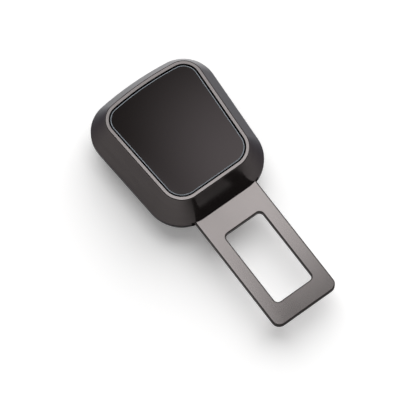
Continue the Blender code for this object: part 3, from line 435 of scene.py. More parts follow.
def noise(tree, scale, detail=FLOOR_DETAIL, stretch=EVEN):
    """Noise in the object's own space, scale in features a metre."""
    place = add_node(tree, "ShaderNodeTexCoord", {})["Object"]
    place = add_node(tree, "ShaderNodeMapping", {"Vector": place, "Scale": stretch})["Vector"]
    return add_node(tree, "ShaderNodeTexNoise", {"Vector": place, "Scale": scale, "Detail": detail})["Fac"]


def vary_colour(tree, shader, value, colour, spread):
    """The base colour runs from darker to lighter by spread as the noise goes from low to high."""
    ramp = tree.nodes.new("ShaderNodeValToRGB")
    feed(ramp, {"Fac": value})
    ends = ((NOISE_LOW, 1 - spread), (NOISE_HIGH, 1 + spread))
    for element, (position, factor) in zip(ramp.color_ramp.elements, ends):
        element.position = position
        element.color = (*[min(1.0, part * factor) for part in colour], 1.0)
    feed(shader, {"Base Color": ramp.outputs["Color"]})


def vary_roughness(tree, shader, value, low, high):
    """The roughness runs from low to high as the noise does."""
    inputs = {"Value": value, "From Min": NOISE_LOW, "From Max": NOISE_HIGH, "To Min": low, "To Max": high}
    feed(shader, {"Roughness": add_node(tree, "ShaderNodeMapRange", inputs)["Result"]})


def finish(part):
    """A surface whose colour and roughness drift in soft patches over a fine grain."""
    name, metallic, roughness, spread, patch, grain, relief, stretch, constants = FINISHES[part]
    material, tree, shader = new_material(name)
    colour = getattr(colours(), part)
    vary_colour(tree, shader, noise(tree, patch, COLOUR_DETAIL, stretch), colour, spread)
    dull = noise(tree, patch * ROUGHNESS_SCALE, ROUGHNESS_DETAIL, stretch)
    vary_roughness(tree, shader, dull, *roughness)
    height = noise(tree, grain, GRAIN_DETAIL, stretch)
    bump = {"Height": height, "Strength": relief, "Distance": GRAIN_HEIGHT}
    normal = add_node(tree, "ShaderNodeBump", bump)["Normal"]
    feed(shader, {"Metallic": metallic, "Normal": normal, **constants})
    return material


def new_object(name, data):
    piece = bpy.data.objects.new(name, data)
    bpy.context.scene.collection.objects.link(piece)
    return piece


def mesh_object(name, bm):
    mesh = bpy.data.meshes.new(name)
    bm.to_mesh(mesh)
    bm.free()
    return new_object(name, mesh)


def finished_mesh(piece):
    """The piece's mesh with its modifiers applied, or a curve's mesh."""
    bpy.context.view_layer.update()
    evaluated = piece.evaluated_get(bpy.context.evaluated_depsgraph_get())
    return bpy.data.meshes.new_from_object(evaluated)


def box(name, low, high):
    """A box between two corners."""
    low, high = Vector(low), Vector(high)
    bm = bmesh.new()
    bmesh.ops.create_cube(bm, size=1.0)
    bmesh.ops.scale(bm, vec=high - low, verts=bm.verts)
    bmesh.ops.translate(bm, vec=(low + high) / 2, verts=bm.verts)
    return mesh_object(name, bm)


def cone(name, start, end, start_radius, end_radius, segments=FINE_SEGMENTS):
    """A round bar or cone between two points."""
    start, end = Vector(start), Vector(end)
    axis = end - start
    bm = bmesh.new()
    bmesh.ops.create_cone(
        bm, cap_ends=True, segments=segments, radius1=start_radius, radius2=end_radius, depth=axis.length
    )
    turn = Vector((0, 0, 1)).rotation_difference(axis).to_matrix().to_4x4()
    bmesh.ops.transform(bm, matrix=Matrix.Translation((start + end) / 2) @ turn, verts=bm.verts)
    return mesh_object(name, bm)


def cylinder(name, start, end, radius, segments=FINE_SEGMENTS):
    return cone(name, start, end, radius, radius, segments)


def shape_with(piece, operation, tools):
    """Apply one Boolean for each tool, and remove the tools."""
    for tool in tools:
        modifier = piece.modifiers.new(tool.name, "BOOLEAN")
        modifier.operation = operation
        modifier.object = tool
        modifier.solver = "EXACT"
    mesh = finished_mesh(piece)
    piece.modifiers.clear()
    piece.data = mesh
    for tool in tools:
        bpy.data.objects.remove(tool, do_unlink=True)


def join(piece, *tools):
    shape_with(piece, "UNION", tools)


def cut(piece, *tools):
    shape_with(piece, "DIFFERENCE", tools)


def arc(centre, radius, start, end, steps):
    """Points along an arc, both ends included."""
    points = []
    for step in range(steps + 1):
        angle = start + (end - start) * step / steps
        points.append((centre[0] + radius * math.cos(angle), centre[1] + radius * math.sin(angle)))
    return points


def circle(centre, radius, steps=FINE_SEGMENTS):
    """Points round a circle."""
    return arc(centre, radius, 0, math.tau * (steps - 1) / steps, steps - 1)


def rounded_outline(corners, steps=ROUND_STEPS):
    """A closed outline from (x, y, radius) corners."""
    points = []
    count = len(corners)
    for index, (x, y, radius) in enumerate(corners):
        here = Vector((x, y))
        if radius <= 0:
            points.append((x, y))
            continue
        before = (Vector(corners[index - 1][:2]) - here).normalized()
        after = (Vector(corners[(index + 1) % count][:2]) - here).normalized()
        half = before.angle(after) / 2
        centre = here + (before + after).normalized() * radius / math.sin(half)
        first = here + before * radius / math.tan(half) - centre
        last = here + after * radius / math.tan(half) - centre
        start = math.atan2(first.y, first.x)
        points += arc(centre, radius, start, start - first.angle_signed(last), steps)
    return points


def rounded_box(low, high, radius, steps=FINE_ROUND_STEPS):
    """Outline of a rectangle with round corners."""
    corners = (low, (high[0], low[1]), high, (low[0], high[1]))
    return rounded_outline([(x, y, radius) for x, y in corners], steps)


def meshed_curve(name, curve, matrix):
    """A closed mesh from a curve, with its caps welded."""
    guide = new_object(name + "_guide", curve)
    guide.matrix_world = matrix
    mesh = finished_mesh(guide)
    bm = bmesh.new()
    bm.from_mesh(mesh)
    bmesh.ops.remove_doubles(bm, verts=bm.verts, dist=CURVE_WELD)
    bmesh.ops.transform(bm, matrix=matrix, verts=bm.verts)
    bmesh.ops.recalc_face_normals(bm, faces=bm.faces)
    bpy.data.meshes.remove(mesh)
    bpy.data.objects.remove(guide, do_unlink=True)
    return mesh_object(name, bm)


def add_spline(curve, points, closed):
    """Straight segments through the points."""
    spline = curve.splines.new("POLY")
    spline.points.add(len(points) - 1)
    for point, place in zip(spline.points, points):
        point.co = (*place, 1)
    spline.use_cyclic_u = closed


def slab(name, outlines, thickness, matrix, edge=0.0):
    """A flat outline with holes, its mid-plane at the matrix, its edges rounded by edge."""
    curve = bpy.data.curves.new(name, "CURVE")
    curve.dimensions = "2D"
    curve.fill_mode = "BOTH"
    curve.extrude = thickness / 2 - edge
    curve.bevel_depth = edge
    curve.bevel_resolution = EDGE_STEPS
    curve.offset = -edge
    for outline in outlines:
        add_spline(curve, [(x, y, 0) for x, y in outline], closed=True)
    return meshed_curve(name, curve, matrix)


def wire(name, points, diameter):
    """A round wire along its centre line."""
    curve = bpy.data.curves.new(name, "CURVE")
    curve.dimensions = "3D"
    curve.bevel_depth = diameter / 2
    curve.bevel_resolution = WIRE_STEPS
    curve.use_fill_caps = True
    add_spline(curve, points, closed=False)
    return meshed_curve(name, curve, Matrix.Identity(4))


def turned(name, profile, matrix, steps=FINE_SEGMENTS):
    """A turned piece from a (radius, height) profile that starts and ends on the axis."""
    bm = bmesh.new()
    verts = [bm.verts.new((radius, 0, height)) for radius, height in profile]
    edges = [bm.edges.new(pair) for pair in zip(verts, verts[1:])]
    bmesh.ops.spin(
        bm, geom=verts + edges, cent=(0, 0, 0), axis=(0, 0, 1), angle=math.tau, steps=steps, use_merge=True
    )
    bmesh.ops.remove_doubles(bm, verts=bm.verts, dist=TURNED_WELD)
    bmesh.ops.recalc_face_normals(bm, faces=bm.faces)
    bmesh.ops.transform(bm, matrix=matrix, verts=bm.verts)
    return mesh_object(name, bm)


def upright(name, place, low_z, high_z, radius, segments=FINE_SEGMENTS):
    """A round bar along Z at a place."""
    x, y = place
    return cylinder(name, (x, y, low_z), (x, y, high_z), radius, segments)


def half_width(y, inset):
    """Half the head's width on its straight sides, at a height y of the outline moved in by inset."""
    return HEAD_WIDTH / 2 + SIDE_SLOPE * (y - Y_MIDDLE) - inset * math.sqrt(1 + SIDE_SLOPE**2)


def head_corners():
    """Centres of the head's right-hand corner arcs, foot and top, and of the crown's arc."""
    foot_y = Y_FOOT + FOOT_CORNER
    foot = (half_width(foot_y, FOOT_CORNER), foot_y)
    crown = (0.0, Y_TOP - CROWN_RADIUS)
    reach = CROWN_RADIUS - TOP_CORNER
    start = half_width(0.0, TOP_CORNER)
    a = 1 + SIDE_SLOPE**2
    b = 2 * (start * SIDE_SLOPE - crown[1])
    c = start**2 + crown[1] ** 2 - reach**2
    top_y = (-b + math.sqrt(b * b - 4 * a * c)) / (2 * a)
    return foot, (half_width(top_y, TOP_CORNER), top_y), crown


FOOT_CENTRE, TOP_CENTRE, CROWN_CENTRE = head_corners()


def head_outline(inset):
    """The head's outline, counter-clockwise from the foot, moved inwards by inset."""
    lean = math.atan(SIDE_SLOPE)
    tangent = math.atan2(TOP_CENTRE[1] - CROWN_CENTRE[1], TOP_CENTRE[0])
    steps = sizes().corner_steps
    inset += OUTLINE_TRIM
    right = arc(FOOT_CENTRE, FOOT_CORNER - inset, -math.pi / 2, -lean, steps)
    right += arc(TOP_CENTRE, TOP_CORNER - inset, -lean, tangent, steps)
    crown = arc(CROWN_CENTRE, CROWN_RADIUS - inset, tangent, math.pi - tangent, sizes().crown_steps)
    left = [(-x, y) for x, y in reversed(right)]
    return right + crown[1:-1] + left


def front_inset(z):
    """How far the front cover's sloping wall has moved in at height z."""
    start = Z_FRONT_EDGE + BAND_HEIGHT
    return FRONT_FLARE * max(0.0, z - start) / (Z_RIM - start)


def back_inset(z):
    """How far the back cover's sloping wall has moved in at height z."""
    start = Z_BACK_EDGE - BAND_HEIGHT
    return BACK_FLARE * max(0.0, start - z) / (start - BACK_EDGE)


def swept_head(name, section, closed):
    """Sweep a section of (inset, z) points round the head's outline."""
    bm = bmesh.new()
    rows = [[bm.verts.new((x, y, z)) for x, y in head_outline(inset)] for inset, z in section]
    pairs = list(zip(rows, rows[1:]))
    if closed:
        pairs.append((rows[-1], rows[0]))
    for low, high in pairs:
        for index in range(len(low)):
            after = (index + 1) % len(low)
            bm.faces.new((low[index], low[after], high[after], high[index]))
    if not closed:
        bm.faces.new(list(reversed(rows[0])))
        bm.faces.new(rows[-1])
    bmesh.ops.recalc_face_normals(bm, faces=bm.faces)
    return mesh_object(name, bm)


def at(x, y, z):
    return Matrix.Translation((x, y, z))


def side_view(x):
    """The plane of a side profile: its first axis along +Y, its second along +Z, at width x."""
    return Matrix(((0, 0, 1, x), (1, 0, 0, 0), (0, 1, 0, 0), (0, 0, 0, 1)))


def end_view(y):
    """The plane of an end profile: its first axis along +X, its second along +Z, at length y."""
    return Matrix(((1, 0, 0, 0), (0, 0, -1, y), (0, 1, 0, 0), (0, 0, 0, 1)))


def screw_webs():
    """For each housing screw: its place, the turn towards the wall beside it, and its web's reach."""
    webs = []
    for x, y, centre, corner in (
        (TONGUE_WIDTH / 2, Y_FOOT + FOOT_SCREW_SETBACK, FOOT_CENTRE, FOOT_CORNER),
        (HALF_BASE, Y_TOP - TOP_SCREW_SETBACK, TOP_CENTRE, TOP_CORNER),
    ):
        x += SEAT_GAP + SCREW_BOSS
        out = Vector((x - centre[0], y - centre[1]))
        reach = corner - WEB_END - out.length
        angle = math.atan2(out.y, out.x)
        webs.append((Vector((-x, y)), Matrix.Rotation(math.pi - angle, 4, "Z"), reach))
        webs.append((Vector((x, y)), Matrix.Rotation(angle, 4, "Z"), reach))
    return webs


def plate_screw_places():
    x = TONGUE_WIDTH / 2 - PLATE_SCREW_INSET
    return [(side * x, Y_FOOT + PLATE_SCREW_SETBACK) for side in (-1, 1)]


def shade(piece, angle=EDGE_SHARP, level=False):
    """Smooth shading with sharp edges; level keeps the flat faces across Z free of their rounded edges."""
    mesh = piece.data
    mesh.shade_smooth()
    mesh.set_sharp_from_angle(angle=math.radians(angle))
    if level:
        bm = bmesh.new()
        bm.from_mesh(mesh)
        bm.normal_update()
        for edge in bm.edges:
            flat = [abs(face.normal.z) > LEVEL_NORMAL for face in edge.link_faces]
            if any(flat) and not all(flat):
                edge.smooth = False
        bm.to_mesh(mesh)
        bm.free()
    modifier = piece.modifiers.new("weighted_normals", "WEIGHTED_NORMAL")
    modifier.keep_sharp = True


def settle(piece, body, slot, *nodes):
    """The piece rides on a body and stands for the nodes, which it hides; slot is not used."""
    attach(piece, body)
    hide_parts(*nodes)


def dress(node, material):
    """Give a node of the frame a finish."""
    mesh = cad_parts[node].data
    mesh.materials.clear()
    mesh.materials.append(material)


def paint(piece, material, second=None, where=None):
    """Give the piece a material, and a second one to the faces that pass a test."""
    slots = piece.data.materials
    slots.clear()
    slots.append(material)
    if second:
        slots.append(second)
    for face in piece.data.polygons:
        face.material_index = int(where(face)) if where else 0


def slot_cutter(name, low_z, high_z):
    """The slot in the head's foot that the tongue leaves by."""
    half = TONGUE_WIDTH / 2 + SLOT_SIDE_ROOM
    low = (-half, Y_FOOT - CUT_MARGIN, low_z)
    return box(name, low, (half, Y_FOOT + SHELL_WALL + CUT_MARGIN, high_z))


def front_section():
    """Section of the front cover: girth, wall, rim, opening, ledge and the rebate for the lip."""
    edge = sizes().parting_edge
    return rounded_outline(
        [
            (0, Z_FRONT_EDGE, edge),
            (0, Z_FRONT_EDGE + BAND_HEIGHT, sizes().girth_round),
            (FRONT_FLARE, Z_RIM, sizes().rim_edge),
            (OPENING_INSET, Z_RIM, edge),
            (OPENING_INSET, Z_LEDGE, 0),
            (front_inset(Z_LEDGE) + SHELL_WALL, Z_LEDGE, 0),
            (front_inset(Z_REBATE) + SHELL_WALL, Z_REBATE, 0),
            (LIP_INSET - SEAT_GAP, Z_REBATE, 0),
            (LIP_INSET - SEAT_GAP, Z_FRONT_EDGE, 0),
        ],
        steps=SECTION_STEPS,
    )


def hold_rib(number, side, y):
    """A rib that holds the base of the plate down, from inside the wall."""
    inset = SHELL_WALL - HOLD_RIB_SINK
    rise = y - TOP_CENTRE[1]
    outer = half_width(y, inset)
    if rise > 0:
        outer = TOP_CENTRE[0] + math.sqrt((TOP_CORNER - inset) ** 2 - rise**2)
    low_x, high_x = sorted((side * (HALF_BASE - HOLD_RIB_OVERLAP), side * outer))
    half = HOLD_RIB_WIDTH / 2
    return box(f"hold_rib_{number}", (low_x, y - half, Z_RIB), (high_x, y + half, Z_BOSS_TOP))


class EXTENDER_OT_front_cover(bpy.types.Operator):
    """Make the lacquered front cover with its pale rim"""

    bl_idname = "extender.front_cover"
    bl_label = "Front Cover"

    def execute(self, context):
        cover = swept_head("front_cover", front_section(), closed=True)
        boss_height = Z_BOSS_TOP - Z_FRONT_EDGE
        low, high = Z_FRONT_EDGE - CUT_MARGIN, Z_BOSS_TOP - SEAT_GAP
        radius = SCREW_SHANK + PIN_CLEARANCE
        bosses = []
        pilots = []
        for number, (place, turn, reach) in enumerate(screw_webs(), 1):
            outline = arc((0, 0), SCREW_BOSS, math.pi / 2, 3 * math.pi / 2, SMALL_SEGMENTS)
            outline += [(reach, -SCREW_BOSS), (reach, SCREW_BOSS)]
            matrix = at(place.x, place.y, Z_FRONT_EDGE + boss_height / 2) @ turn
            bosses.append(slab(f"front_boss_{number}", [outline], boss_height, matrix))
            pilots.append(upright(f"pilot_{number}", place, low, high, radius, SMALL_SEGMENTS))
        places = [(side, y) for side in (-1, 1) for y in (Y_FOOT + HOLD_RIB_LOW, Y_TOP - HOLD_RIB_HIGH)]
        ribs = [hold_rib(number, side, y) for number, (side, y) in enumerate(places, 1)]
        join(cover, *bosses, *ribs)
        cut(cover, *pilots, slot_cutter("front_slot", low, Z_PLATE_TOP + SEAT_GAP))
        paint(cover, finish("lacquer"), finish("rim"), lambda face: face.center.z > Z_RIM - OUTLINE_TRIM)
        shade(cover, level=True)
        settle(cover, "housing", "front_shell", "front_shell")
        return {"FINISHED"}


def back_section():
    """Section of the back cover, from its flat back up the wall, over the lip and down inside."""
    edge = sizes().parting_edge
    return rounded_outline(
        [
            (BACK_FLARE + BACK_EDGE + SHELL_WALL, 0, 0),
            (BACK_FLARE + BACK_EDGE, 0, BACK_EDGE / 2),
            (BACK_FLARE, BACK_EDGE, BACK_EDGE / 2),
            (0, Z_BACK_EDGE - BAND_HEIGHT, sizes().girth_round),
            (0, Z_BACK_EDGE, edge),
            (LIP_INSET, Z_BACK_EDGE, 0),
            (LIP_INSET, Z_LIP, edge),
            (SHELL_WALL, Z_LIP, edge),
            (SHELL_WALL, Z_BACK_EDGE - BAND_HEIGHT, 0),
            (back_inset(FLOOR_THICKNESS) + SHELL_WALL, FLOOR_THICKNESS, 0),
            (BACK_FLARE + BACK_EDGE + 2 * SHELL_WALL, FLOOR_THICKNESS, 0),
        ],
        steps=SECTION_STEPS,
    )


class EXTENDER_OT_back_cover(bpy.types.Operator):
    """Make the satin back cover with its screw holes, slot and mouth"""

    bl_idname = "extender.back_cover"
    bl_label = "Back Cover"

    def execute(self, context):
        cover = swept_head("back_cover", back_section(), closed=False)
        foot = FLOOR_THICKNESS - UNION_SINK
        low = Z_PLATE_TOP - PLATE_SCREW_DEPTH - PILOT_ROOM
        high = Z_CHANNEL_TOP + CUT_MARGIN
        radius = SCREW_SHANK + PIN_CLEARANCE
        posts = []
        holes = []
        for number, (place, turn, reach) in enumerate(screw_webs(), 1):
            posts.append(upright(f"post_{number}", place, foot, Z_BACK_EDGE, SCREW_BOSS))
            holes += self.screw_cuts(number, place, turn, reach)
        for number, place in enumerate(plate_screw_places(), 1):
            posts.append(upright(f"plate_post_{number}", place, foot, Z_CHANNEL_TOP, PLATE_POST_RADIUS))
            holes.append(upright(f"plate_pilot_{number}", place, low, high, radius, SMALL_SEGMENTS))
        join(cover, *posts)
        holes.append(slot_cutter("back_slot", Z_CHANNEL_TOP, Z_BACK_EDGE + CUT_MARGIN))
        half = CHANNEL_WIDTH / 2 + COLLAR_RIM + SEAT_GAP
        corner = (-half, Y_COLLAR - COLLAR_DEPTH - SEAT_GAP, Z_LINER - SEAT_GAP / 2)
        holes.append(box("mouth", corner, (half, Y_TOP + CUT_MARGIN, Z_BACK_EDGE + CUT_MARGIN)))
        cut(cover, *holes)
        paint(cover, finish("back"))
        shade(cover)
        settle(cover, "housing", "back_shell", "back_shell")
        return {"FINISHED"}

    def screw_cuts(self, number, place, turn, reach):
        """The hole and countersink of a screw, and the notch in the lip for the boss above it."""
        radius = SCREW_SHANK + SEAT_GAP
        hole = upright(f"hole_{number}", place, -CUT_MARGIN, Z_BACK_EDGE + CUT_MARGIN, radius, HOLE_SEGMENTS)
        seat = SCREW_HEAD_SINK + SCREW_HEAD_HEIGHT + SEAT_GAP
        widening = (SCREW_HEAD - SCREW_SHANK) / SCREW_HEAD_HEIGHT
        mouth = radius + widening * (seat + CUT_MARGIN)
        low = (place.x, place.y, -CUT_MARGIN)
        sink = cone(f"countersink_{number}", low, (place.x, place.y, seat), mouth, radius)
        start = SCREW_BOSS + UNION_SINK
        half = SCREW_BOSS + SEAT_GAP
        stop = reach + SHELL_WALL
        outline = [(start, -half), (stop, -half), (stop, half), (start, half)]
        matrix = at(place.x, place.y, Z_BACK_EDGE + LIP_NOTCH_RISE + LIP_HEIGHT) @ turn
        return [hole, sink, slab(f"lip_notch_{number}", [outline], 2 * LIP_HEIGHT, matrix)]


def plate_outline():
    """Outline of the steel plate: tongue, shoulders, ear reliefs and base."""
    half_tongue = TONGUE_WIDTH / 2
    step = Y_FOOT + BASE_STEP
    ear_low = Y_PIVOT - EAR_LENGTH / 2 - RELIEF_GAP
    ear_high = Y_PIVOT + EAR_LENGTH / 2 + RELIEF_GAP
    right = [
        (half_tongue, PLATE_LOW.y + OUTLINE_TRIM, TIP_RADIUS),
        (half_tongue, step, 0),
        (HALF_BASE, step + HALF_BASE - half_tongue, BASE_CORNER),
        (HALF_BASE, ear_low, 0),
        (EAR_OUTER + EAR_SHOULDER, ear_low + RELIEF_SLANT, 0),
        (EAR_OUTER + EAR_SHOULDER, ear_high - RELIEF_SLANT, 0),
        (HALF_BASE, ear_high, 0),
        (HALF_BASE, Y_BASE_END, BASE_CORNER),
    ]
    left = [(-x, y, radius) for x, y, radius in reversed(right)]
    return rounded_outline(right + left, FINE_ROUND_STEPS)


class EXTENDER_OT_steel_plate(bpy.types.Operator):
    """Make the stamped steel plate with its window, latch opening and ears"""

    bl_idname = "extender.steel_plate"
    bl_label = "Steel Plate"

    def execute(self, context):
        window_low = (-WINDOW_WIDTH / 2, PLATE_LOW.y + TIP_BAR)
        window_high = (WINDOW_WIDTH / 2, PLATE_LOW.y + TIP_BAR + WINDOW_LENGTH)
        window = rounded_box(window_low, window_high, WINDOW_RADIUS)
        half_tooth = LATCH_HIGH.x - TOOTH_STEP + LATCH_WINDOW_ROOM
        latch_low = (-half_tooth, LATCH_HIGH.y - TOOTH_LENGTH - LATCH_WINDOW_ROOM)
        latch_high = (half_tooth, LATCH_HIGH.y + LATCH_SWING_ROOM)
        opening = rounded_box(latch_low, latch_high, LATCH_WINDOW_ROOM, SMALL_ROUND_STEPS)
        holes = [circle(place, SCREW_SHANK + SEAT_GAP, HOLE_SEGMENTS) for place in plate_screw_places()]
        middle = at(0, 0, Z_PLATE + TONGUE_THICKNESS / 2)
        outlines = [plate_outline(), window, opening, *holes]
        plate = slab("steel_plate", outlines, TONGUE_THICKNESS, middle, edge=sizes().plate_edge)
        foot = Z_PLATE_TOP - TONGUE_THICKNESS / 2
        half = EAR_LENGTH / 2
        ears = []
        ear = [(Y_PIVOT - half, foot), (Y_PIVOT + half, foot)]
        ear += arc((Y_PIVOT, Z_PIVOT), EAR_ROUND, 0, math.pi, SMALL_SEGMENTS)
        for side in (-1, 1):
            plane = side_view(side * (EAR_OUTER - EAR_THICKNESS / 2))
            ears.append(slab(f"ear_{side}", [ear], EAR_THICKNESS, plane, edge=EAR_SHOULDER / 2))
        join(plate, *ears)
        low = (-EAR_OUTER - CUT_MARGIN, Y_PIVOT, Z_PIVOT)
        high = (EAR_OUTER + CUT_MARGIN, Y_PIVOT, Z_PIVOT)
        cut(plate, cylinder("ear_holes", low, high, PIN_RADIUS + PIN_CLEARANCE))
        # The sides and rounded edges get the dark edge colour: sheared steel on the sides, painted shade on
        # the rounded edges
        paint(
            plate, finish("steel"), finish("cut_edge_and_shade"),
            lambda face: abs(face.normal.z) < LEVEL_NORMAL and face.center.z < Z_PLATE_TOP,
        )
        shade(plate, level=True)
        settle(plate, "housing", "tongue_steel", "tongue_plate")
        return {"FINISHED"}


class EXTENDER_OT_panel(bpy.types.Operator):
    """Make the dark panel with its chamfer, whose pale colour is a painted highlight"""

    bl_idname = "extender.panel"
    bl_label = "Panel"

    def execute(self, context):
        edge = sizes().parting_edge
        chamfer = sizes().panel_chamfer
        section = rounded_outline(
            [
                (PANEL_INSET + SHELL_WALL, PANEL_LOW.z, 0),
                (PANEL_INSET, PANEL_LOW.z, edge),
                (PANEL_INSET, PANEL_HIGH.z - chamfer, edge / 2),
                (PANEL_INSET + chamfer, PANEL_HIGH.z, edge / 2),
                (PANEL_INSET + SHELL_WALL, PANEL_HIGH.z, 0),
            ],
            steps=PANEL_STEPS,
        )
        panel = swept_head("panel", section, closed=False)
        foot = PANEL_HIGH.z - chamfer - edge / 2
        # The outward-sloping faces of the chamfer get the painted highlight
        low, high = CHAMFER_NORMALS
        paint(
            panel, finish("panel"), finish("chamfer"),
            lambda face: low < face.normal.z < high and face.center.z > foot,
        )
        shade(panel, PANEL_SHARP, level=True)
        settle(panel, "button", "face_panel", "face_plate")
        return {"FINISHED"}


class EXTENDER_OT_socket(bpy.types.Operator):
    """Make the socket's moulded liner with its collar, and the red ejector in it"""

    bl_idname = "extender.socket"
    bl_label = "Socket"

    def execute(self, context):
        self.make_liner()
        self.make_ejector()
        return {"FINISHED"}

    def spring_peg(self, name, start, stop):
        """A peg along Y that the ejector's spring sits on."""
        ends = [(0, y, Z_EJECTOR_SPRING) for y in (start, stop)]
        return cylinder(name, *ends, SPRING_PEG_RADIUS, SMALL_SEGMENTS)

    def make_liner(self):
        half = CHANNEL_WIDTH / 2
        outer = half + LINER_WALL
        trough = [
            (-outer, Z_LINER), (outer, Z_LINER), (outer, Z_CHANNEL_TOP), (half, Z_CHANNEL_TOP),
            (half, Z_CHANNEL), (-half, Z_CHANNEL), (-half, Z_CHANNEL_TOP), (-outer, Z_CHANNEL_TOP),
        ]
        end = Y_COLLAR - COLLAR_DEPTH + UNION_SINK
        liner = slab("mouth_liner", [trough], end - Y_LINER, end_view((Y_LINER + end) / 2))
        low = (-half - UNION_SINK, Y_LINER + COLLAR_LEAD, Z_CHANNEL - UNION_SINK)
        high = (half + UNION_SINK, Y_LINER + LINER_END_WALL, Z_CHANNEL_TOP - COLLAR_LEAD)
        rim_low = (-half - COLLAR_RIM, Z_LINER + COLLAR_LIFT)
        rim_high = (half + COLLAR_RIM, LINER_HIGH.z)
        hole_low = (-half - COLLAR_LEAD, Z_CHANNEL - COLLAR_LEAD)
        hole_high = (half + COLLAR_LEAD, Z_CHANNEL_TOP + COLLAR_LEAD)
        collar = slab(
            "collar",
            [
                rounded_box(rim_low, rim_high, COLLAR_RADIUS),
                rounded_box(hole_low, hole_high, COLLAR_HOLE_RADIUS, ROUND_STEPS),
            ],
            COLLAR_DEPTH,
            end_view(Y_COLLAR - COLLAR_DEPTH / 2),
            edge=COLLAR_EDGE,
        )
        wall = Y_LINER + LINER_END_WALL
        peg = self.spring_peg("liner_peg", wall - UNION_SINK, wall + SPRING_PEG_LENGTH)
        join(liner, box("liner_end", low, high), peg, collar)
        paint(liner, finish("moulding"))
        shade(liner)
        settle(liner, "housing", "black_moulding", "socket_liner")

    def make_ejector(self):
        low = (EJECTOR_LOW.x, EJECTOR_HIGH.y - EJECTOR_LENGTH)
        high = (EJECTOR_HIGH.x, EJECTOR_HIGH.y)
        outline = rounded_box(low, high, 2 * SEAT_GAP, SMALL_ROUND_STEPS)
        height = EJECTOR_HIGH.z - EJECTOR_LOW.z
        middle = at(0, 0, (EJECTOR_HIGH.z + EJECTOR_LOW.z) / 2)
        slider = slab("ejector_slider", [outline], height, middle, edge=SEAT_GAP)
        join(slider, self.spring_peg("ejector_peg", low[1] + UNION_SINK, EJECTOR_LOW.y))
        paint(slider, finish("ejector"))
        shade(slider)
        settle(slider, "ejector", "red_moulding", "ejector")


def coil(length, radius, diameter, turns):
    """Centre line of a compression spring from 0 to length, with a flat turn at each end."""
    run = length - 2 * diameter
    per_turn = sizes().coil_points
    points = []
    for step in range((turns + 2) * per_turn + 1):
        turn = step / per_turn
        if turn < 1:
            rise = diameter / 2 + diameter / 2 * turn
        elif turn > turns + 1:
            rise = length - diameter + diameter / 2 * (turn - turns - 1)
        else:
            rise = diameter + run * (turn - 1) / turns
        angle = math.tau * turn
        points.append((radius * math.cos(angle), radius * math.sin(angle), rise))
    return points


class EXTENDER_OT_springs(bpy.types.Operator):
    """Make the button springs, the ejector spring and the latch spring"""

    bl_idname = "extender.springs"
    bl_label = "Springs"

    def execute(self, context):
        material = finish("spring")
        for number in range(1, BUTTON_SPRINGS + 1):
            self.button_spring(number, material)
        self.ejector_spring(material)
        self.latch_spring(material)
        return {"FINISHED"}

    def wound(self, name, points, diameter, material):
        """A finished spring along its centre line."""
        spring = wire(name, points, diameter)
        paint(spring, material)
        shade(spring, SPRING_SHARP)
        return spring

    def button_spring(self, number, material):
        node = f"button_spring_{number}"
        low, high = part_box(node)
        centre = self.place_of(number)
        path = coil(high.z - low.z, BUTTON_COIL_RADIUS, BUTTON_WIRE, BUTTON_TURNS)
        points = [(centre[0] + x, centre[1] + y, low.z + z) for x, y, z in path]
        spring = self.wound(f"button_coil_{number}", points, BUTTON_WIRE, material)
        settle(spring, "housing", "spring_steel", node)
        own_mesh(spring)

    def place_of(self, number):
        """The springs stand at the centres of the head's corner arcs, left side first."""
        side = -1 if number <= 2 else 1
        centre = FOOT_CENTRE if number % 2 else TOP_CENTRE
        return side * centre[0], centre[1]

    def ejector_spring(self, material):
        low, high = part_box("ejector_spring")
        length = high.y - low.y
        path = coil(length, EJECTOR_COIL_RADIUS, EJECTOR_WIRE, EJECTOR_TURNS)
        points = [(x, low.y + z, Z_EJECTOR_SPRING + y) for x, y, z in path]
        spring = self.wound("ejector_coil", points, EJECTOR_WIRE, material)
        settle(spring, "housing", "spring_steel", "ejector_spring")
        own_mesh(spring)

    def latch_spring(self, material):
        """A torsion spring: one leg lies across the latch's arm, the other on the plate."""
        half_latch = LATCH_HIGH.x
        start = half_latch + SEAT_GAP + LATCH_WIRE / 2
        over = Z_PIVOT + LATCH_ARM_RISE + SEAT_GAP + LATCH_WIRE / 2
        contact = Y_PIVOT + LATCH_LEG
        points = [
            (half_latch - 2 * LATCH_WIRE, contact, over),
            (half_latch, contact, over),
            (start, contact - LATCH_WIRE, over),
        ]
        per_turn = sizes().coil_points
        for step in range(LATCH_TURNS * per_turn + per_turn // 2 + 1):
            angle = math.tau * step / per_turn
            along = start + LATCH_COIL_PITCH * step / per_turn
            y = Y_PIVOT - LATCH_COIL_RADIUS * math.sin(angle)
            points.append((along, y, Z_PIVOT + LATCH_COIL_RADIUS * math.cos(angle)))
        end = start + LATCH_COIL_PITCH * (LATCH_TURNS + 1 / 2)
        low = Z_PLATE_TOP + SEAT_GAP + LATCH_WIRE / 2
        points += [(end, Y_PIVOT + PRESS_POINT / 2, low), (end, Y_PIVOT + PRESS_POINT, low)]
        spring = self.wound("latch_coil", points, LATCH_WIRE, material)
        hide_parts("latch_spring")
        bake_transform(spring)


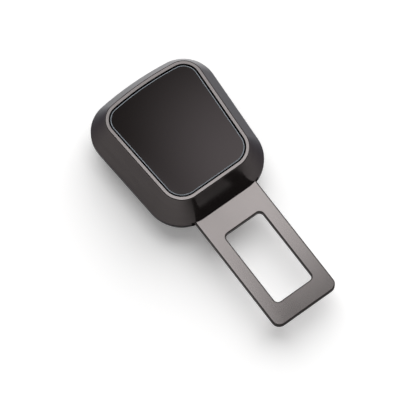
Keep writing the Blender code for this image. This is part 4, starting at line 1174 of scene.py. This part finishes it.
class EXTENDER_OT_screws(bpy.types.Operator):
    """Make the four countersunk housing screws"""

    bl_idname = "extender.screws"
    bl_label = "Screws"

    def execute(self, context):
        material = finish("screw")
        drives = ((DRIVE_LENGTH / 2, DRIVE_WIDTH / 2), (DRIVE_WIDTH / 2, DRIVE_LENGTH / 2))
        for number, web in enumerate(screw_webs(), 1):
            place = web[0]
            node = f"housing_screw_{number}"
            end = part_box(node)[1].z
            head = SCREW_HEAD_SINK + SCREW_HEAD_HEIGHT
            profile = [
                (0, end),
                (SCREW_SHANK - SEAT_GAP, end),
                (SCREW_SHANK, end - SCREW_TIP),
                (SCREW_SHANK, head),
                (SCREW_HEAD, SCREW_HEAD_SINK + SCREW_EDGE),
                (SCREW_HEAD - SCREW_EDGE, SCREW_HEAD_SINK),
                (0, SCREW_HEAD_SINK),
            ]
            screw = turned(f"cover_screw_{number}", profile, at(place.x, place.y, 0))
            slots = []
            for half_x, half_y in drives:
                low = (place.x - half_x, place.y - half_y, -CUT_MARGIN)
                high = (place.x + half_x, place.y + half_y, SCREW_HEAD_SINK + DRIVE_DEPTH)
                slots.append(box(f"drive_{number}", low, high))
            cut(screw, *slots)
            paint(screw, material)
            shade(screw)
            settle(screw, "housing", "dark_screw", node)
        return {"FINISHED"}


class EXTENDER_OT_inner_finishes(bpy.types.Operator):
    """Give the pieces inside the head their finishes"""

    bl_idname = "extender.inner_finishes"
    bl_label = "Inner Finishes"

    def execute(self, context):
        for part, nodes in (
            ("zinc", ("latch", "pivot_pin", "plate_screw_left", "plate_screw_right")),
            ("spring", ("pin_clip_left", "pin_clip_right")),
            ("moulding", ("button_body",)),
            ("pad", ("face_pad",)),
        ):
            material = finish(part)
            for node in nodes:
                dress(node, material)
        return {"FINISHED"}


def camera_back():
    """The direction from the camera's aim to the camera."""
    turn = studio().camera_azimuth
    rise = studio().camera_elevation
    return Vector((math.sin(turn) * math.cos(rise), -math.cos(turn) * math.cos(rise), math.sin(rise)))


def add_camera():
    back = camera_back()
    data = bpy.data.cameras.new("camera")
    data.lens = studio().camera_lens
    data.sensor_width = SENSOR_WIDTH
    data.clip_start = CAMERA_NEAR
    data.clip_end = CAMERA_FAR
    camera = new_object("camera", data)
    camera.location = Vector(CAMERA_AIM) + back * studio().camera_distance
    aim = (-back).to_track_quat("-Z", "Y").to_matrix()
    camera.rotation_euler = (aim @ Matrix.Rotation(studio().camera_roll, 3, "Z")).to_euler()
    bpy.context.scene.camera = camera


def room_light():
    """The room: bright at eye level all round, dim overhead and in front of the tongue."""
    world = bpy.data.worlds.new("studio_room")
    bpy.context.scene.world = world
    world.use_nodes = True
    tree = world.node_tree
    place = add_node(tree, "ShaderNodeTexCoord", {})["Generated"]
    axes = add_node(tree, "ShaderNodeSeparateXYZ", {"Vector": place})
    height = {0: axes["Y"], 1: FRONT_SHADE, 2: axes["Z"]}
    height = add_node(tree, "ShaderNodeMath", height, operation="MULTIPLY_ADD")["Value"]
    spread = {"Value": height, "From Min": ROOM_LOW, "From Max": ROOM_HIGH}
    spread.update({"To Min": studio().horizon, "To Max": studio().zenith})
    strength = add_node(tree, "ShaderNodeMapRange", spread, interpolation_type="SMOOTHSTEP")["Result"]
    feed(tree.nodes["Background"], {"Strength": strength, "Color": ROOM_COLOUR})


def key_light():
    """A very large soft lamp from the far right."""
    lamp = bpy.data.lights.new("key", "SUN")
    lamp.energy = studio().key_strength
    lamp.angle = studio().key_softness
    key = new_object("key", lamp)
    key.rotation_mode = "QUATERNION"
    key.rotation_quaternion = Vector(KEY_DIRECTION).to_track_quat("Z", "Y")
    key.visible_glossy = False


def level_sheet(name, size, place, material):
    """A level square sheet on the stage."""
    bm = bmesh.new()
    bmesh.ops.create_grid(bm, x_segments=1, y_segments=1, size=size / 2)
    sheet = mesh_object(name, bm)
    sheet.location = place
    material.cycles.emission_sampling = "NONE"
    sheet.data.materials.append(material)
    return sheet


def glossy_card(name, size, place):
    """The empty node tree of a level card that only glossy surfaces see."""
    material, tree, shader = new_material(name + "_cloth")
    tree.nodes.remove(shader)
    card = level_sheet(name, size, place, material)
    card.visible_camera = False
    card.visible_diffuse = False
    card.visible_shadow = False
    return tree


def oval_fade(tree, across, along, half_across, half_along, middle, edge):
    """A value that runs softly from the middle of an oval to its edge, and stays there outside it."""
    oval = {
        "Vector": add_node(tree, "ShaderNodeTexCoord", {})["Object"],
        "Location": (-across / half_across, -along / half_along, 0.0),
        "Scale": (1 / half_across, 1 / half_along, 1.0),
    }
    place = add_node(tree, "ShaderNodeMapping", oval)["Vector"]
    reach = add_node(tree, "ShaderNodeVectorMath", {0: place}, operation="LENGTH")["Value"]
    fade = {"Value": reach, "To Min": middle, "To Max": edge}
    return add_node(tree, "ShaderNodeMapRange", fade, interpolation_type="SMOOTHERSTEP")["Result"]


def add_glow(tree, base, strength):
    """Add a glow to a surface."""
    glow = add_node(tree, "ShaderNodeEmission", {"Strength": strength})["Emission"]
    return add_node(tree, "ShaderNodeAddShader", {0: base, 1: glow})["Shader"]


def show(tree, surface):
    feed(tree.nodes["Material Output"], {"Surface": surface})


def softbox():
    """An overhead softbox with two soft glows, seen only in glossy surfaces."""
    back = camera_back()
    mirror = Vector((-back.x, -back.y)) / back.z * (SOFTBOX_HEIGHT - (Z_PLATE_TOP + Z_RIM) / 2)
    tree = glossy_card("overhead_softbox", SOFTBOX_SIZE, (mirror.x, mirror.y, SOFTBOX_HEIGHT))
    surface = add_node(tree, "ShaderNodeBsdfTransparent", {})["BSDF"]
    for *oval, brightness in SOFTBOX_GLOWS:
        surface = add_glow(tree, surface, oval_fade(tree, *oval, brightness * studio().softbox, 0.0))
    show(tree, surface)


def front_flag():
    """A sheet of painted shade on the floor in front of the head, seen only in glossy surfaces, where it
    darkens the floor.
    """
    tree = glossy_card("front_flag", FLAG_SIZE, (*FLAG_MIDDLE, -FLOOR_DROP / 2))
    # Painted shade: darkest in the oval's middle, clear at its edge
    reflection_darkening = oval_fade(tree, 0.0, 0.0, *FLAG_REACH, FLAG_SHADE, 1.0)
    show(tree, add_node(tree, "ShaderNodeBsdfTransparent", {"Color": reflection_darkening})["BSDF"])


def add_floor():
    """A pale floor just under the part, which looks white to camera, glossy and transmission rays."""
    material, tree, shader = new_material("pale_floor")
    vary_colour(tree, shader, noise(tree, FLOOR_PATCHES), colours().floor, FLOOR_SPREAD)
    vary_roughness(tree, shader, noise(tree, FLOOR_DULL_PATCHES), *FLOOR_ROUGHNESS)
    feed(shader, {"Specular IOR Level": 0.0})
    rays = add_node(tree, "ShaderNodeLightPath", {})
    seen = rays["Is Camera Ray"]
    for ray in ("Is Glossy Ray", "Is Transmission Ray"):
        seen = add_node(tree, "ShaderNodeMath", {0: seen, 1: rays[ray]}, operation="MAXIMUM")["Value"]
    lift = add_node(tree, "ShaderNodeMapRange", {"Value": seen, "To Max": studio().floor_lift})["Result"]
    show(tree, add_glow(tree, shader.outputs["BSDF"], lift))
    level_sheet("floor", FLOOR_SIZE, (0.0, 0.0, -FLOOR_DROP), material)


class EXTENDER_OT_stage(bpy.types.Operator):
    """Add the floor, the lights and the camera"""

    bl_idname = "extender.stage"
    bl_label = "Stage"

    def execute(self, context):
        context.scene.view_settings.view_transform = "Standard"
        add_camera()
        add_floor()
        room_light()
        key_light()
        softbox()
        front_flag()
        return {"FINISHED"}


class EXTENDER_PT_panel(bpy.types.Panel):
    """The extender's pieces and settings"""

    bl_idname = "EXTENDER_PT_panel"
    bl_label = "Seat Belt Extender"
    bl_space_type = "VIEW_3D"
    bl_region_type = "UI"
    bl_category = "Extender"

    def draw(self, context):
        column = self.layout.column(align=True)
        for operator in OPERATORS:
            column.operator(operator.bl_idname)
        for group in (sizes(), colours(), studio()):
            box_layout = self.layout.box()
            for name in group.__annotations__:
                box_layout.prop(group, name)


GROUPS = (ExtenderSizes, ExtenderColours, ExtenderStudio)
OPERATORS = (
    EXTENDER_OT_front_cover,
    EXTENDER_OT_back_cover,
    EXTENDER_OT_steel_plate,
    EXTENDER_OT_panel,
    EXTENDER_OT_socket,
    EXTENDER_OT_springs,
    EXTENDER_OT_screws,
    EXTENDER_OT_inner_finishes,
    EXTENDER_OT_stage,
)


def register():
    for item in (*GROUPS, *OPERATORS, EXTENDER_PT_panel):
        bpy.utils.register_class(item)
    bpy.types.Scene.extender_sizes = PointerProperty(type=ExtenderSizes)
    bpy.types.Scene.extender_colours = PointerProperty(type=ExtenderColours)
    bpy.types.Scene.extender_studio = PointerProperty(type=ExtenderStudio)


def unregister():
    del bpy.types.Scene.extender_sizes
    del bpy.types.Scene.extender_colours
    del bpy.types.Scene.extender_studio
    for item in reversed((*GROUPS, *OPERATORS, EXTENDER_PT_panel)):
        bpy.utils.unregister_class(item)


def main():
    register()
    bpy.ops.extender.front_cover()
    bpy.ops.extender.back_cover()
    bpy.ops.extender.steel_plate()
    bpy.ops.extender.panel()
    bpy.ops.extender.socket()
    bpy.ops.extender.springs()
    bpy.ops.extender.screws()
    bpy.ops.extender.inner_finishes()
    bpy.ops.extender.stage()


if __name__ == "__main__":
    main()
